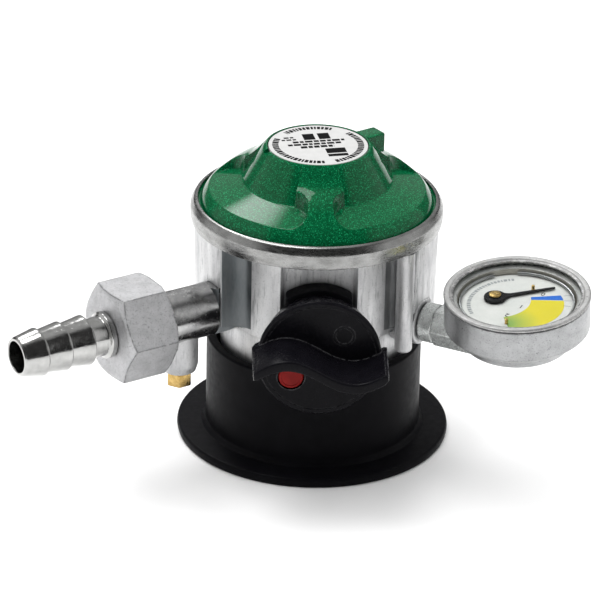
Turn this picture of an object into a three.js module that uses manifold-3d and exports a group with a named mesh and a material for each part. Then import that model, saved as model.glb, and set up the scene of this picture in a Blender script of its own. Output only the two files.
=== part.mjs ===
// Quick-on gas cylinder regulator with an on/off knob, a barbed hose outlet and a pressure gauge.
// Millimetres, +Z up. The origin is on the valve socket's axis, level with the underside of the collar.
import * as THREE from 'three';
import { mergeVertices } from 'three/addons/utils/BufferGeometryUtils.js';
import Module from 'manifold-3d';

const wasm = await Module();
wasm.setup();

// ---- driving dimensions ----
const GAP = 0.3; // clearance between pieces that touch
const ROUND = 36; // facets of a large round surface
const SMALL_ROUND = 18; // facets of a small round surface
const HIDDEN_ROUND = 20; // facets of wide pieces inside
const FINE_ROUND = 12; // facets of thin wires, pins and bores

const BARREL_R = 24.9; // lower barrel of the body
const DRUM_R = 31.8; // wide upper part of the body
const DRUM_BASE_Z = 37.5;
const BODY_BASE_Z = 1.5;
const BODY_TOP_Z = 63;
const SOCKET_R = 17.7; // bore that takes the cylinder valve
const SOCKET_TOP_Z = 25;
const CHAMBER_R = 20.5; // low-pressure chamber under the diaphragm
const CHAMBER_FLOOR_Z = 48;
const FRONT_R = 26.5; // barrel's front above the collar, between the ends of the drum
const FRONT_BASE_Z = 36;
const RECESS_Y = -19.6; // the drum ends on this plane, either side of the front
const PAD_Y = -22.9; // flat guide for the collar's tongue
const PAD_HALF_W = 9.6;

const RING_R = 33;
const RING_BASE_Z = 60.9;
const RING_TOP_Z = 66.8;
const BONNET_R = 30.4;
const BONNET_TOP_Z = 81.5;
const CAP_R = 12.9; // round cap over the spring adjuster

const COLLAR_R = 28.4;
const COLLAR_BORE_R = 25.7;
const COLLAR_TOP_Z = 28;
const FLANGE_R = 36.1;
const FLANGE_T = 2.4;
const COLLAR_LIFT = 4;
const TONGUE_HALF_W = 8.5;
const TONGUE_OUT_Y = -28.5;

const BALL_R = 2.5;
const BALL_Z = 10.5;
const BALL_ORBIT_R = 18.9;
const BALL_ANGLES = [45, 135, 225, 315];
const BALL_CONE_SLOPE = 0.3; // outward travel of a ball per millimetre of collar lift

const KNOB_Z = 38;
const KNOB_BACK_Y = -28.9;
const KNOB_FRONT_Y = -37;
const KNOB_BACK_R = 14;
const KNOB_FRONT_R = 15.9;
const HANDLE_TIP_Y = -49.6;
const HANDLE_RISE = 0.7; // grip's middle above the knob's axis
const DOT_X = -7.2;
const DOT_Z = -5.4;
const HANDLE_HALF_SPAN = 17.1;
const HANDLE_WAVE = 3.2;
const HANDLE_T = 2.9;
const SPINDLE_R = 3.2;
const CAM_THROW = 2.12; // eccentric pin, swinging 45 degrees either side of level

const OUTLET_ANGLE = 210.8;
const OUTLET_Z = 42.5;
const SPIGOT_R = 6.95;
const SPIGOT_END = 57;
const NUT_START = 48.9;
const NUT_END = 62.9;
const NUT_FLATS = 23.1;
const NOZZLE_TIP = 89.2;
const TEST_PORT_REACH = 41.5;
const TEST_PORT_Z = 27.2;
const SPIGOT_ROOT = 33.5; // where the outlet pipe's round end stands clear of the recess

const GAUGE_ANGLE = 331;
const STEM_Z = 38.4;
const STEM_START = 32.2;
const GAUGE_REACH = 58.4;
const GAUGE_TILT = 5.7; // the case is screwed home a little past level
const RIM_UP = 15.2; // bezel rim above the stem's axis
const CASE_R = 18.7;
const CUP_R = 15.5;
const POINTER_PIVOT_X = -6.2;
const POINTER_ANGLE = 42;
const POINTER_REACH = 16;

const LEVER_PIVOT = { y: 8, z: 54 };
const SEAT_Y = 12;

// ---- materials ----
function finish(colour, roughness, metalness) {
  return { color: colour, roughness, metalness };
}

const FINISHES = {
  castZinc: finish(0xb9bbbd, 0.42, 0.9),
  polished: finish(0xd8d8d6, 0.15, 1),
  nickel: finish(0xc9c9c6, 0.2, 1),
  zincPlate: finish(0xa9adb0, 0.38, 0.9),
  greenPaint: finish(0x00713f, 0.3, 0.3),
  labelWhite: finish(0xf4f4f2, 0.55, 0),
  blackPlastic: finish(0x26252a, 0.5, 0),
  redPlastic: finish(0xd8343a, 0.5, 0),
  brass: finish(0xc9a24d, 0.3, 1),
  rubber: finish(0x1b1b1b, 0.8, 0),
  steel: finish(0x8f9296, 0.35, 1),
  dialWhite: finish(0xf2f2ef, 0.6, 0),
  clear: finish(0xf5f8fa, 0.05, 0),
  pointerBlack: finish(0x1d1d1f, 0.5, 0),
};

// ---- geometry helpers ----
const radians = THREE.MathUtils.degToRad;

/** Revolves [radius, z] points about Z; a profile that leaves the axis is closed on itself. */
function lathe(profile, segments = ROUND) {
  const points = profile.map(([r, z]) => new THREE.Vector2(r, z));
  const isRing = profile[0][0] > 0;
  if (isRing) points.push(points[0].clone());
  return new THREE.LatheGeometry(points, segments).rotateX(Math.PI / 2);
}

/** Solid or hollow cylinder about Z. */
function tube(outer, z0, z1, inner = 0, segments = ROUND) {
  return lathe([[inner, z0], [outer, z0], [outer, z1], [inner, z1]], segments);
}

/** The same about X, from x0 to x1. */
function rod(outer, x0, x1, inner = 0, segments = SMALL_ROUND) {
  return tube(outer, x0, x1, inner, segments).rotateY(Math.PI / 2);
}

/** The same about Y, from y0 to y1. */
function axle(outer, y0, y1, inner = 0, segments = SMALL_ROUND) {
  return tube(outer, -y1, -y0, inner, segments).rotateX(Math.PI / 2);
}

function box(x0, x1, y0, y1, z0, z1) {
  const geometry = new THREE.BoxGeometry(x1 - x0, y1 - y0, z1 - z0);
  return geometry.translate((x0 + x1) / 2, (y0 + y1) / 2, (z0 + z1) / 2);
}

/** Extrudes an outline of [x, y] points from z0 to z1. */
function prism(outline, z0, z1) {
  const shape = new THREE.Shape(outline.map(([x, y]) => new THREE.Vector2(x, y)));
  const geometry = new THREE.ExtrudeGeometry(shape, { depth: z1 - z0, bevelEnabled: false });
  return geometry.translate(0, 0, z0);
}

/** Points on an arc, both ends included. */
function arc(cx, cy, r, from, to, steps) {
  return Array.from({ length: steps + 1 }, (_, i) => {
    const a = radians(from + ((to - from) * i) / steps);
    return [cx + r * Math.cos(a), cy + r * Math.sin(a)];
  });
}

function sector(inner, outer, from, to, z0, z1, steps = 24) {
  return prism([...arc(0, 0, outer, from, to, steps), ...arc(0, 0, inner, to, from, steps)], z0, z1);
}

function hexagon(flats, turn = 0) {
  return arc(0, 0, flats / Math.sqrt(3), turn, turn + 300, 5);
}

/** Ring of round wire about Z. */
function wireRing(r, wire, z) {
  const section = arc(r, z, wire, 0, 315, 7);
  return lathe(section, FINE_ROUND);
}

class Helix extends THREE.Curve {
  constructor(r, z0, z1, turns) {
    super();
    Object.assign(this, { r, z0, z1, turns });
  }

  getPoint(t, target = new THREE.Vector3()) {
    const a = t * this.turns * 2 * Math.PI;
    return target.set(this.r * Math.cos(a), this.r * Math.sin(a), this.z0 + (this.z1 - this.z0) * t);
  }
}

/** Extrudes a round or rectangular section along a curve. */
function swept(curve, section, steps) {
  const shape = new THREE.Shape(section.map(([x, y]) => new THREE.Vector2(x, y)));
  return new THREE.ExtrudeGeometry(shape, { steps, bevelEnabled: false, extrudePath: curve });
}

function coil(r, wire, z0, z1, turns) {
  const curve = new Helix(r, z0 + wire, z1 - wire, turns);
  return swept(curve, arc(0, 0, wire, 0, 288, 4), Math.round(turns * 12));
}

/** Signed volume of a triangle soup given as positions and indices. */
function signedVolume(position, index) {
  const corner = (i) => new THREE.Vector3().fromArray(position, 3 * i);
  let total = 0;
  for (let i = 0; i < index.length; i += 3) {
    total += corner(index[i]).dot(corner(index[i + 1]).cross(corner(index[i + 2])));
  }
  return total / 6;
}

/** Turns a closed three.js geometry into a solid that can be joined and cut. */
function solid(geometry) {
  const bare = geometry.clone();
  bare.deleteAttribute('normal');
  bare.deleteAttribute('uv');
  const merged = mergeVertices(bare, 1e-4);
  const position = merged.getAttribute('position').array;
  const source = merged.index.array;
  const index = [];
  for (let i = 0; i < source.length; i += 3) {
    const [a, b, c] = source.slice(i, i + 3);
    if (a !== b && b !== c && c !== a) index.push(a, b, c);
  }
  if (signedVolume(position, index) < 0) index.reverse();
  const mesh = new wasm.Mesh({
    numProp: 3,
    vertProperties: new Float32Array(position),
    triVerts: new Uint32Array(index),
  });
  return new wasm.Manifold(mesh);
}

function join(...geometries) {
  return geometries.map((g) => (g instanceof wasm.Manifold ? g : solid(g))).reduce((a, b) => a.add(b));
}

function cut(base, ...tools) {
  return tools.reduce((a, b) => a.subtract(b instanceof wasm.Manifold ? b : solid(b)), join(base));
}

function toGeometry(manifold) {
  const mesh = manifold.getMesh();
  const geometry = new THREE.BufferGeometry();
  geometry.setAttribute('position', new THREE.BufferAttribute(new Float32Array(mesh.vertProperties), 3));
  geometry.setIndex(new THREE.BufferAttribute(new Uint32Array(mesh.triVerts), 1));
  geometry.computeVertexNormals();
  return geometry;
}

/** Named mesh of one piece, from a geometry or a solid. */
function piece(name, form, look) {
  const manifold = (form instanceof wasm.Manifold ? form : solid(form)).simplify(0.01);
  const mesh = new THREE.Mesh(toGeometry(manifold), new THREE.MeshStandardMaterial(FINISHES[look]));
  mesh.name = name;
  return mesh;
}

/** Group turned about Z and lifted, whose +X points out along a branch of the body. */
function branch(angle, z, ...children) {
  const group = new THREE.Group();
  group.rotation.z = radians(angle);
  group.position.z = z;
  group.add(...children);
  return group;
}

/** Geometry made along local +X, moved into a branch's place in the body's frame. */
function onBranch(geometry, angle, z) {
  return geometry.rotateZ(radians(angle)).translate(0, 0, z);
}

// ---- body casting ----
/** Space in front of the drum's two ends. */
function recess() {
  return box(-25, 25, -45, RECESS_Y, FRONT_BASE_Z, 60.6);
}

function bodyOutside() {
  const barrel = lathe([
    [0, BODY_BASE_Z], [21.5, BODY_BASE_Z], [21.5, 2.9], [20.4, 2.9], [20.4, 4.5], [21.5, 4.5],
    [21.5, 26], [BARREL_R, 26], [BARREL_R, 60.6], [31, 60.6], [31, 61.7], [31.9, 61.7],
    [31.9, BODY_TOP_Z], [0, BODY_TOP_Z],
  ]);
  const drum = lathe([
    [0, DRUM_BASE_Z], [DRUM_R - 0.8, DRUM_BASE_Z], [DRUM_R - 0.2, DRUM_BASE_Z + 0.8],
    [DRUM_R, 60.6], [0, 60.6],
  ]);
  const front = tube(FRONT_R, FRONT_BASE_Z, 60.6);
  return join(barrel, front, cut(drum, recess()));
}

function bodyBranches() {
  const spigot = onBranch(
    lathe([
      [0, 12], [SPIGOT_R, 12], [SPIGOT_R, SPIGOT_END], [0, SPIGOT_END],
    ], SMALL_ROUND).rotateY(Math.PI / 2), OUTLET_ANGLE, OUTLET_Z);
  const portBoss = onBranch(
    tube(4.9, TEST_PORT_Z - OUTLET_Z, -4, 0, SMALL_ROUND).translate(TEST_PORT_REACH, 0, 0),
    OUTLET_ANGLE, OUTLET_Z);
  const gaugeBoss = onBranch(rod(6.3, 12, STEM_START - GAP), GAUGE_ANGLE, STEM_Z);
  const pillar = tube(2.3, 32.8, 60.6, 0, 20).translate(22.3, -20.7, 0);
  const pillarFoot = new THREE.SphereGeometry(2.3, 20, 10).translate(22.3, -20.7, 33.6);
  const spigotRoot = solid(onBranch(box(0, SPIGOT_ROOT, -15, 15, -10, 10), OUTLET_ANGLE, OUTLET_Z))
    .intersect(solid(box(-40, 0, -45, RECESS_Y, 30, 60.6)));
  const foot = cut(pillarFoot, box(10, 30, -30, -10, 25, 32.8));
  return join(cut(spigot, spigotRoot), portBoss, gaugeBoss, pillar, foot);
}

function bodyHollows() {
  const socket = tube(SOCKET_R, 0, SOCKET_TOP_Z);
  const chamber = lathe([
    [0, CHAMBER_FLOOR_Z], [CHAMBER_R, CHAMBER_FLOOR_Z], [CHAMBER_R, 62], [27, 62], [27, 64], [0, 64],
  ]);
  const plungerBore = tube(5.4, SOCKET_TOP_Z - 1, 44.4, 0, SMALL_ROUND);
  const spindleBore = axle(SPINDLE_R + 0.3, -30, -2).translate(0, 0, KNOB_Z);
  const glandBore = axle(5.3, -30, -17).translate(0, 0, KNOB_Z);
  const feedBore = axle(1.6, 3, SEAT_Y + 1.5, 0, 16).translate(0, 0, 42);
  const orificeBore = tube(2.8, 41, CHAMBER_FLOOR_Z + 1, 0, 16).translate(0, SEAT_Y, 0);
  const outletBore = onBranch(rod(2.4, 13, 38), OUTLET_ANGLE, OUTLET_Z);
  const outletMouth = onBranch(rod(4.4, 37, 60), OUTLET_ANGLE, OUTLET_Z);
  const outletRise = onBranch(tube(3.4, 0, 8, 0, 20).translate(15.5, 0, 0), OUTLET_ANGLE, OUTLET_Z);
  const gaugeBore = onBranch(rod(1.6, 4, 33, 0, 16), GAUGE_ANGLE, STEM_Z);
  const gaugeThread = onBranch(rod(4.2, 21, 33), GAUGE_ANGLE, STEM_Z);
  const testBore = onBranch(
    tube(1.9, 24 - OUTLET_Z, 0, 0, 16).translate(TEST_PORT_REACH, 0, 0), OUTLET_ANGLE, OUTLET_Z);
  const ballHoles = BALL_ANGLES.map((angle) => onBranch(rod(BALL_R + 0.3, 15, 23, 0, 12), angle, BALL_Z));
  return [
    socket, chamber, plungerBore, spindleBore, glandBore, feedBore, orificeBore,
    outletBore, outletMouth, outletRise,
    gaugeBore, gaugeThread, testBore, ...ballHoles,
  ];
}

function bodyCasting() {
  const guidePad = box(-PAD_HALF_W, PAD_HALF_W, -34, PAD_Y, 26, 60.6);
  const leverPosts = join(
    box(-4.8, -3.1, LEVER_PIVOT.y - 2, LEVER_PIVOT.y + 2, CHAMBER_FLOOR_Z - 1, LEVER_PIVOT.z + 2),
    box(3.1, 4.8, LEVER_PIVOT.y - 2, LEVER_PIVOT.y + 2, CHAMBER_FLOOR_Z - 1, LEVER_PIVOT.z + 2),
  );
  const pinHole = rod(1.05, -6, 6, 0, 16).translate(0, LEVER_PIVOT.y, LEVER_PIVOT.z);
  const shell = cut(join(cut(bodyOutside(), guidePad), bodyBranches()), ...bodyHollows());
  return piece('body_casting', cut(join(shell, leverPosts), pinHole), 'castZinc');
}

// ---- bonnet, clamp ring and spring ----
function clampRing() {
  const profile = [
    [31.3, RING_BASE_Z], [32.7, RING_BASE_Z], [RING_R, RING_BASE_Z + 0.5], [RING_R, 64.6], [32.1, 66.2],
    [31.2, RING_TOP_Z], [30.8, RING_TOP_Z], [30.8, 66.1], [31.7, 66.1],
    [32.25, 65.2], [32.25, RING_BASE_Z + 0.5],
    [31.3, RING_BASE_Z + 0.5],
  ];
  return piece('clamp_ring', lathe(profile), 'polished');
}

/** The bonnet's crown as radius and height, from the label down to the skirt. */
const CROWN = [
  [13.6, 81.4], [14.8, 80.2], [16, 78.8], [18, 77], [20, 75.8], [22, 74.6], [24, 73.2],
  [26, 71.5], [28, 69.7],
  [29.4, 68], [BONNET_R, 66.2],
];

function pocketOutline(angle) {
  const mid = 23.85;
  const end = 4.55;
  const half = 41;
  const [ax, ay] = arc(0, 0, mid, half, half, 1)[0];
  const [bx, by] = arc(0, 0, mid, -half, -half, 1)[0];
  const outline = [
    ...arc(0, 0, mid + end, -half, half, 9),
    ...arc(ax, ay, end, half + 20, half + 140, 5),
    [12.2 * Math.cos(radians(half - 4)), 12.2 * Math.sin(radians(half - 4))],
    [12.2 * Math.cos(radians(4 - half)), 12.2 * Math.sin(radians(4 - half))],
    ...arc(bx, by, end, -half - 140, -half - 20, 5),
  ];
  const turn = radians(angle);
  return outline.map(([x, y]) => [
    x * Math.cos(turn) - y * Math.sin(turn),
    x * Math.sin(turn) + y * Math.cos(turn),
  ]);
}

function bonnet() {
  const shell = lathe([
    [0, 64.6], [31.6, 64.6], [31.6, 65.8], [BONNET_R, 65.8], ...[...CROWN].reverse(), [0, CROWN[0][1]],
  ]);
  const core = lathe([[0, 60], [29.4, 60], [29.4, 69.2], [19.5, 72], [13.8, 81.6], [0, 81.6]]);
  const pockets = [90, 210, 330].map((angle) => cut(prism(pocketOutline(angle), 66, 84), core));
  const breather = box(10, 19.5, -2.4, 2.4, 72, 81.2).rotateZ(radians(33));
  const inside = lathe([
    [0, 60], [28.2, 60], [28.2, 67.2], [18, 69.4], [9.5, 73], [9.5, 80.2], [13.2, 80.2], [13.2, 84], [0, 84],
  ]);
  const notch = box(12.5, 15, -1.4, 1.4, 80.4, 84).rotateZ(radians(196.5));
  return piece('bonnet', cut(join(cut(shell, ...pockets), breather), inside, notch), 'greenPaint');
}

function springStack() {
  const plate = lathe([[2.4, 65.8], [11.5, 65.8], [11.5, 67], [2.4, 67]], SMALL_ROUND);
  const adjuster = cut(tube(9.2, 75.6, 79.4, 0, SMALL_ROUND), prism(hexagon(8), 75, 80));
  const diaphragm = lathe([
    [2.4, 64.3], [18, 64.3], [26.5, 63.3], [31.6, 63.3], [31.6, 64.3], [27, 64.3], [18, 65.5], [2.4, 65.5],
  ], HIDDEN_ROUND);
  return [
    piece('bonnet_cap', tube(CAP_R, 80.5, BONNET_TOP_Z - 0.1), 'labelWhite'),
    piece('adjusting_nut', adjuster, 'brass'),
    piece('main_spring', coil(7.6, 0.8, 67.3, 75.3, 4.5), 'steel'),
    piece('spring_plate', plate, 'steel'),
    piece('diaphragm', diaphragm, 'rubber'),
  ];
}

/** Stem through the diaphragm, with its lower plate and the stirrup that works the lever. */
function diaphragmStem() {
  const stem = tube(2.1, 59, 69.5, 0, 20);
  const plate = tube(12, 62.9, 64, 0, SMALL_ROUND);
  const stirrup = join(
    box(-2.6, -1.5, -1.6, 1.6, 52.2, 59.4), box(1.5, 2.6, -1.6, 1.6, 52.2, 59.4),
    box(-2.6, 2.6, -1.6, 1.6, 58.6, 59.8), box(-2.6, 2.6, -1.6, 1.6, 51.6, 52.6),
  );
  return piece('diaphragm_stem', join(stem, plate, stirrup), 'zincPlate');
}

// ---- regulating valve ----
function regulatingValve() {
  const base = CHAMBER_FLOOR_Z + GAP;
  const orifice = lathe([
    [0.9, 42.6], [2.5, 42.6], [2.5, base], [3.6, base], [3.6, 49.3], [1.7, 50.2], [1.7, 50.9], [0.9, 50.9],
  ], FINE_ROUND);
  const { y, z } = LEVER_PIVOT;
  const lever = cut(join(
    box(-1.1, 1.1, -1.2, y + 6, z - 0.9, z + 0.9),
    rod(2, -1.5, 1.5, 0, 20).translate(0, y, z),
    tube(2.2, z - 0.9, z + 0.9, 0, 20).translate(0, SEAT_Y, 0),
  ), rod(1.1, -3, 3, 0, 16).translate(0, y, z));
  return [
    piece('inlet_orifice', orifice.translate(0, SEAT_Y, 0), 'brass'),
    piece('valve_lever', lever, 'steel'),
    piece('valve_seat_pad', tube(1.9, 52.2, z - 0.9 - GAP, 0, 20).translate(0, SEAT_Y, 0), 'rubber'),
    piece('lever_pin', rod(0.75, -5.6, 5.6, 0, 16).translate(0, y, z), 'steel'),
  ];
}

// ---- cylinder valve side ----
function plunger() {
  const probe = lathe([[0, 13.4], [1.4, 13], [2.4, 14], [2.4, 17.6], [1.9, 17.8], [1.9, 19.4], [2.4, 19.6],
    [3, 20.4], [3, 33], [0, 33]], 24);
  const yoke = cut(tube(5, 32.4, 43.2, 0, SMALL_ROUND), box(-9, 9, -9, 0.2, 30, 50));
  const tongue = box(-4.4, 4.4, -2.6, 0.6, 34.2, 41.4);
  const pinZ = KNOB_Z + CAM_THROW * Math.SQRT1_2;
  const slot = box(-0.2, 4, -4, 1.4, pinZ - 1.5, pinZ + 1.5);
  return piece('plunger', cut(join(probe, yoke, cut(tongue, tube(9, 30, 45, 4.9))), slot), 'brass');
}

function socketParts() {
  const balls = BALL_ANGLES.map((angle, i) => {
    const ball = new THREE.SphereGeometry(BALL_R, 12, 8).translate(BALL_ORBIT_R, 0, 0);
    return piece(`locking_ball_${i + 1}`, onBranch(ball, angle, BALL_Z), 'steel');
  });
  const clip = sector(20.7, 24.8, 20, 340, 3.2, 4.2, 30);
  return [
    piece('probe_seal', wireRing(2.75, 0.5, 18.6), 'rubber'),
    piece('plunger_spring', coil(4, 0.4, SOCKET_TOP_Z + 2.8, 32, 3), 'steel'),
    piece('plunger_guide', tube(5.1, SOCKET_TOP_Z - 0.2, SOCKET_TOP_Z + 2.4, 3.3, SMALL_ROUND), 'brass'),
    piece('socket_seal', tube(12.5, SOCKET_TOP_Z - 2.3, SOCKET_TOP_Z - GAP, 7, SMALL_ROUND), 'rubber'),
    piece('retaining_ring', clip, 'steel'),
    piece('collar_spring', coil(23.6, 0.6, 14.9, 25.7, 3), 'steel'),
    ...balls,
  ];
}

/** Radius of the cone that backs the balls, wider below so that a lifted collar frees them. */
function ballConeR(z) {
  return BALL_ORBIT_R + BALL_R + GAP + BALL_CONE_SLOPE * (BALL_Z - z);
}

function lockingCollar() {
  const sleeve = lathe([
    [COLLAR_BORE_R, 0], [FLANGE_R - 0.8, 0], [FLANGE_R, 0.8], [FLANGE_R, FLANGE_T - 0.8],
    [FLANGE_R - 0.8, FLANGE_T], [COLLAR_R + 1.6, FLANGE_T], [COLLAR_R + 0.5, FLANGE_T + 0.5],
    [COLLAR_R, FLANGE_T + 1.6], [COLLAR_R, COLLAR_TOP_Z - 0.5], [COLLAR_R - 0.5, COLLAR_TOP_Z],
    [COLLAR_BORE_R, COLLAR_TOP_Z], [COLLAR_BORE_R, 14.5], [21.8, 14.5], [21.8, 10.3],
    [ballConeR(4.6), 4.6], [COLLAR_BORE_R, 4.6],
  ]);
  const top = arc(0, KNOB_Z, 15, 55.5, 124.5, 10);
  const outline = [[TONGUE_HALF_W, 21], ...top, [-TONGUE_HALF_W, 21]];
  const tongue = prism(outline, -PAD_Y + GAP, -TONGUE_OUT_Y).rotateX(Math.PI / 2);
  const slot = prism([
    ...arc(0, KNOB_Z, SPINDLE_R + 0.4, 0, 180, 10),
    ...arc(0, KNOB_Z - COLLAR_LIFT, SPINDLE_R + 0.4, 180, 360, 10),
  ], 20, 32).rotateX(Math.PI / 2);
  const bore = cut(tube(COLLAR_BORE_R, 12, COLLAR_TOP_Z + 1), tube(21.8, 0, 14.5));
  return piece('locking_collar', cut(join(sleeve, cut(tongue, bore)), slot), 'blackPlastic');
}

// ---- knob ----
function handleOutline() {
  const wave = (x) => HANDLE_RISE - HANDLE_WAVE * Math.sin((Math.PI * x) / HANDLE_HALF_SPAN);
  const steps = 16;
  const xs = Array.from({ length: steps + 1 }, (_, i) => HANDLE_HALF_SPAN * ((2 * i) / steps - 1));
  const lower = xs.map((x) => [x, wave(x) - HANDLE_T / 2]);
  const upper = xs.map((x) => [x, wave(x) + HANDLE_T / 2]).reverse();
  return [...lower, ...upper];
}

function knobParts() {
  const disc = lathe([
    [0, -KNOB_BACK_Y], [KNOB_BACK_R, -KNOB_BACK_Y], [KNOB_FRONT_R, -KNOB_FRONT_Y - 1],
    [KNOB_FRONT_R - 0.9, -KNOB_FRONT_Y], [0, -KNOB_FRONT_Y],
  ]).rotateX(Math.PI / 2);
  const handle = prism(handleOutline(), -KNOB_FRONT_Y - 2, -HANDLE_TIP_Y).rotateX(Math.PI / 2);
  const dot = axle(3.2, KNOB_FRONT_Y + 0.1, KNOB_FRONT_Y + 2, 0, 24).translate(DOT_X, 0, DOT_Z);
  const dotHole = axle(3.5, KNOB_FRONT_Y - 4, KNOB_FRONT_Y + 2.3, 0, 24).translate(DOT_X, 0, DOT_Z);
  const shaftHole = axle(SPINDLE_R + GAP, -33.4, -20, 0, 24);
  const knob = cut(join(disc, handle), dotHole, shaftHole);
  const crank = radians(45);
  const pin = axle(1.1, -4.4, 1, 0, 16)
    .translate(CAM_THROW * Math.cos(crank), 0, CAM_THROW * Math.sin(crank));
  const spindle = join(axle(SPINDLE_R, -33, -3.4), pin);
  const parts = [
    piece('knob', knob, 'blackPlastic'),
    piece('knob_dot', dot, 'redPlastic'),
    piece('knob_spindle', spindle, 'zincPlate'),
    piece('spindle_gland', axle(5, -22.6, -17.3, SPINDLE_R + GAP), 'brass'),
  ];
  const group = new THREE.Group();
  group.position.z = KNOB_Z;
  group.add(...parts);
  return group;
}

// ---- outlet ----
function outletParts() {
  const chamfer = lathe([
    [0, NUT_START], [12, NUT_START], [13.4, NUT_START + 0.9],
    [13.4, NUT_END - 1.1], [11, NUT_END], [0, NUT_END],
  ], ROUND);
  const hex = solid(prism(hexagon(NUT_FLATS, 30), NUT_START, NUT_END)).intersect(solid(chamfer));
  const threaded = tube(SPIGOT_R + GAP, NUT_START - 1, 61.1, 0, SMALL_ROUND);
  const nut = cut(hex, threaded, tube(5.55, 60, 64, 0, SMALL_ROUND));
  const barbs = [[83.1, 6.3, 5.6], [76.5, 6.45, 5.7], [69.85, 6.6, 5.2]].flatMap(([d, r, next]) => [
    [r - 0.15, d + 0.8], [r, d + 0.3], [r - 0.25, d], [next, d - 0.4],
  ]);
  const nozzle = lathe([
    [4.1, NOZZLE_TIP], [4.8, NOZZLE_TIP], [5.1, NOZZLE_TIP - 0.4], ...barbs,
    [5.2, 64.9], [6.1, 64.5], [6.1, 63.3],
    [5.2, 63], [5.2, 60.8], [6.7, 60.8], [6.7, 58.8], [3.6, 58.8], [3.6, 70],
  ], SMALL_ROUND);
  const lie = (geometry) => geometry.rotateY(Math.PI / 2);
  const plug = prism(hexagon(6, 0), TEST_PORT_Z - 4.1 - OUTLET_Z, TEST_PORT_Z - GAP - OUTLET_Z);
  const shank = tube(1.6, TEST_PORT_Z - 1 - OUTLET_Z, TEST_PORT_Z + 5 - OUTLET_Z, 0, 16);
  const port = (form) => form.translate(TEST_PORT_REACH, 0, 0);
  return branch(OUTLET_ANGLE, OUTLET_Z,
    piece('union_nut', lie(toGeometry(nut)), 'nickel'),
    piece('hose_nozzle', lie(nozzle), 'nickel'),
    piece('nozzle_washer', rod(6.6, SPIGOT_END + GAP, 58.5, 3.6), 'rubber'),
    piece('test_plug', port(toGeometry(join(plug, shank))), 'brass'));
}

// ---- gauge ----
function gaugeCase() {
  const shell = lathe([
    [0, 0.2], [11.2, 0.2], [13.6, 0.9], [15, 2.2], [CUP_R, 4], [CUP_R, 5.3], [CASE_R - 0.8, 5.3],
    [CASE_R, 6.1], [CASE_R, 14.1], [17.4, 14.1], [17.4, 13.3], [15.3, 13.3], [15.3, 10.9], [14.4, 10.9],
    [14.4, 4], [13.6, 2.6], [11, 1.4], [0, 1.4],
  ]);
  return shell;
}

function gaugeStem() {
  const bar = cut(join(
    rod(4, 23, STEM_START + 1, 0, 24),
    rod(5.2, STEM_START, 36, 0, SMALL_ROUND),
    prism(hexagon(9.8, 30), 35.9, 50.5).rotateY(Math.PI / 2),
  ), rod(1.3, 20, 48, 0, 12), tube(1.3, 0, 9, 0, 12).translate(47, 0, 0));
  return bar;
}

function gaugeHead() {
  const pivot = POINTER_PIVOT_X;
  const aim = radians(POINTER_ANGLE);
  const bezel = lathe([
    [16.4, 14.4], [CASE_R + 0.2, 14.4], [CASE_R + 0.2, 14.9], [CASE_R - 0.2, RIM_UP], [17.2, RIM_UP],
    [16.4, 14.9],
  ]);
  const snapRing = sector(14.2, 15, 150, 492, 11.9, 12.6, 30);
  const dial = cut(tube(15, 11.2, 11.6, 0, ROUND), tube(1.3, 10, 13, 0, 16).translate(pivot, 0, 0),
    ...stopPins().map(([x, y]) => tube(0.75, 10, 13, 0, 12).translate(x, y, 0)));
  const blade = [[-4.4, -0.45], [POINTER_REACH, -0.35], [POINTER_REACH, 0.35], [-4.4, 0.45]];
  const needle = prism(blade, 11.95, 12.25);
  const pointer = cut(join(tube(2.65, 11.95, 12.7, 0, 24), needle), tube(1, 11, 14, 0, 16));
  const spindle = join(tube(0.7, 4.6, 13, 0, 12), tube(1.6, 12.9, 13.3, 0, 20),
    box(0, 3.4, -0.5, 0.5, 4.6, 5.3));
  const bracket = cut(join(box(pivot - 4.5, pivot + 2.6, -2.2, 2.2, 9.7, 10.6),
    box(pivot - 4.5, pivot - 3.2, -1, 2, 5.4, 9.8)), tube(1, 5, 11, 0, 12).translate(pivot, 0, 0));
  const atPivot = (mesh) => {
    mesh.position.x = pivot;
    mesh.rotation.z = aim;
    return mesh;
  };
  const tubeArc = new THREE.EllipseCurve(0, 0, 10.6, 10.6, radians(192), radians(500), false);
  const stations = tubeArc.getPoints(24).map((p) => new THREE.Vector3(p.x, p.y, 6.45));
  const path = new THREE.CatmullRomCurve3(stations);
  const bourdon = swept(path, [[-1.1, -0.45], [1.1, -0.45], [1.1, 0.45], [-1.1, 0.45]], 24);
  const pins = stopPins().map(([x, y], i) => piece(
    `${['zero', 'end'][i]}_stop_pin`, tube(0.45, 10.7, 13, 0, 8).translate(x, y, 0), 'brass'));
  return [
    piece('gauge_bezel', bezel, 'zincPlate'),
    piece('gauge_lens', tube(17.1, 13.6, 14.1), 'clear'),
    piece('gauge_snap_ring', snapRing, 'steel'),
    piece('gauge_dial', dial, 'dialWhite'),
    atPivot(piece('gauge_pointer', pointer, 'pointerBlack')),
    atPivot(piece('pointer_spindle', spindle, 'brass')),
    piece('spindle_bracket', bracket, 'brass'),
    piece('bourdon_tube', bourdon, 'brass'),
    ...pins,
  ];
}

/** Places of the two stop pins on the dial. */
function stopPins() {
  return [[50, 10.8], [-52, 12.4]].map(([angle, reach]) => {
    const a = radians(angle);
    return [POINTER_PIVOT_X + reach * Math.cos(a), reach * Math.sin(a)];
  });
}

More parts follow.
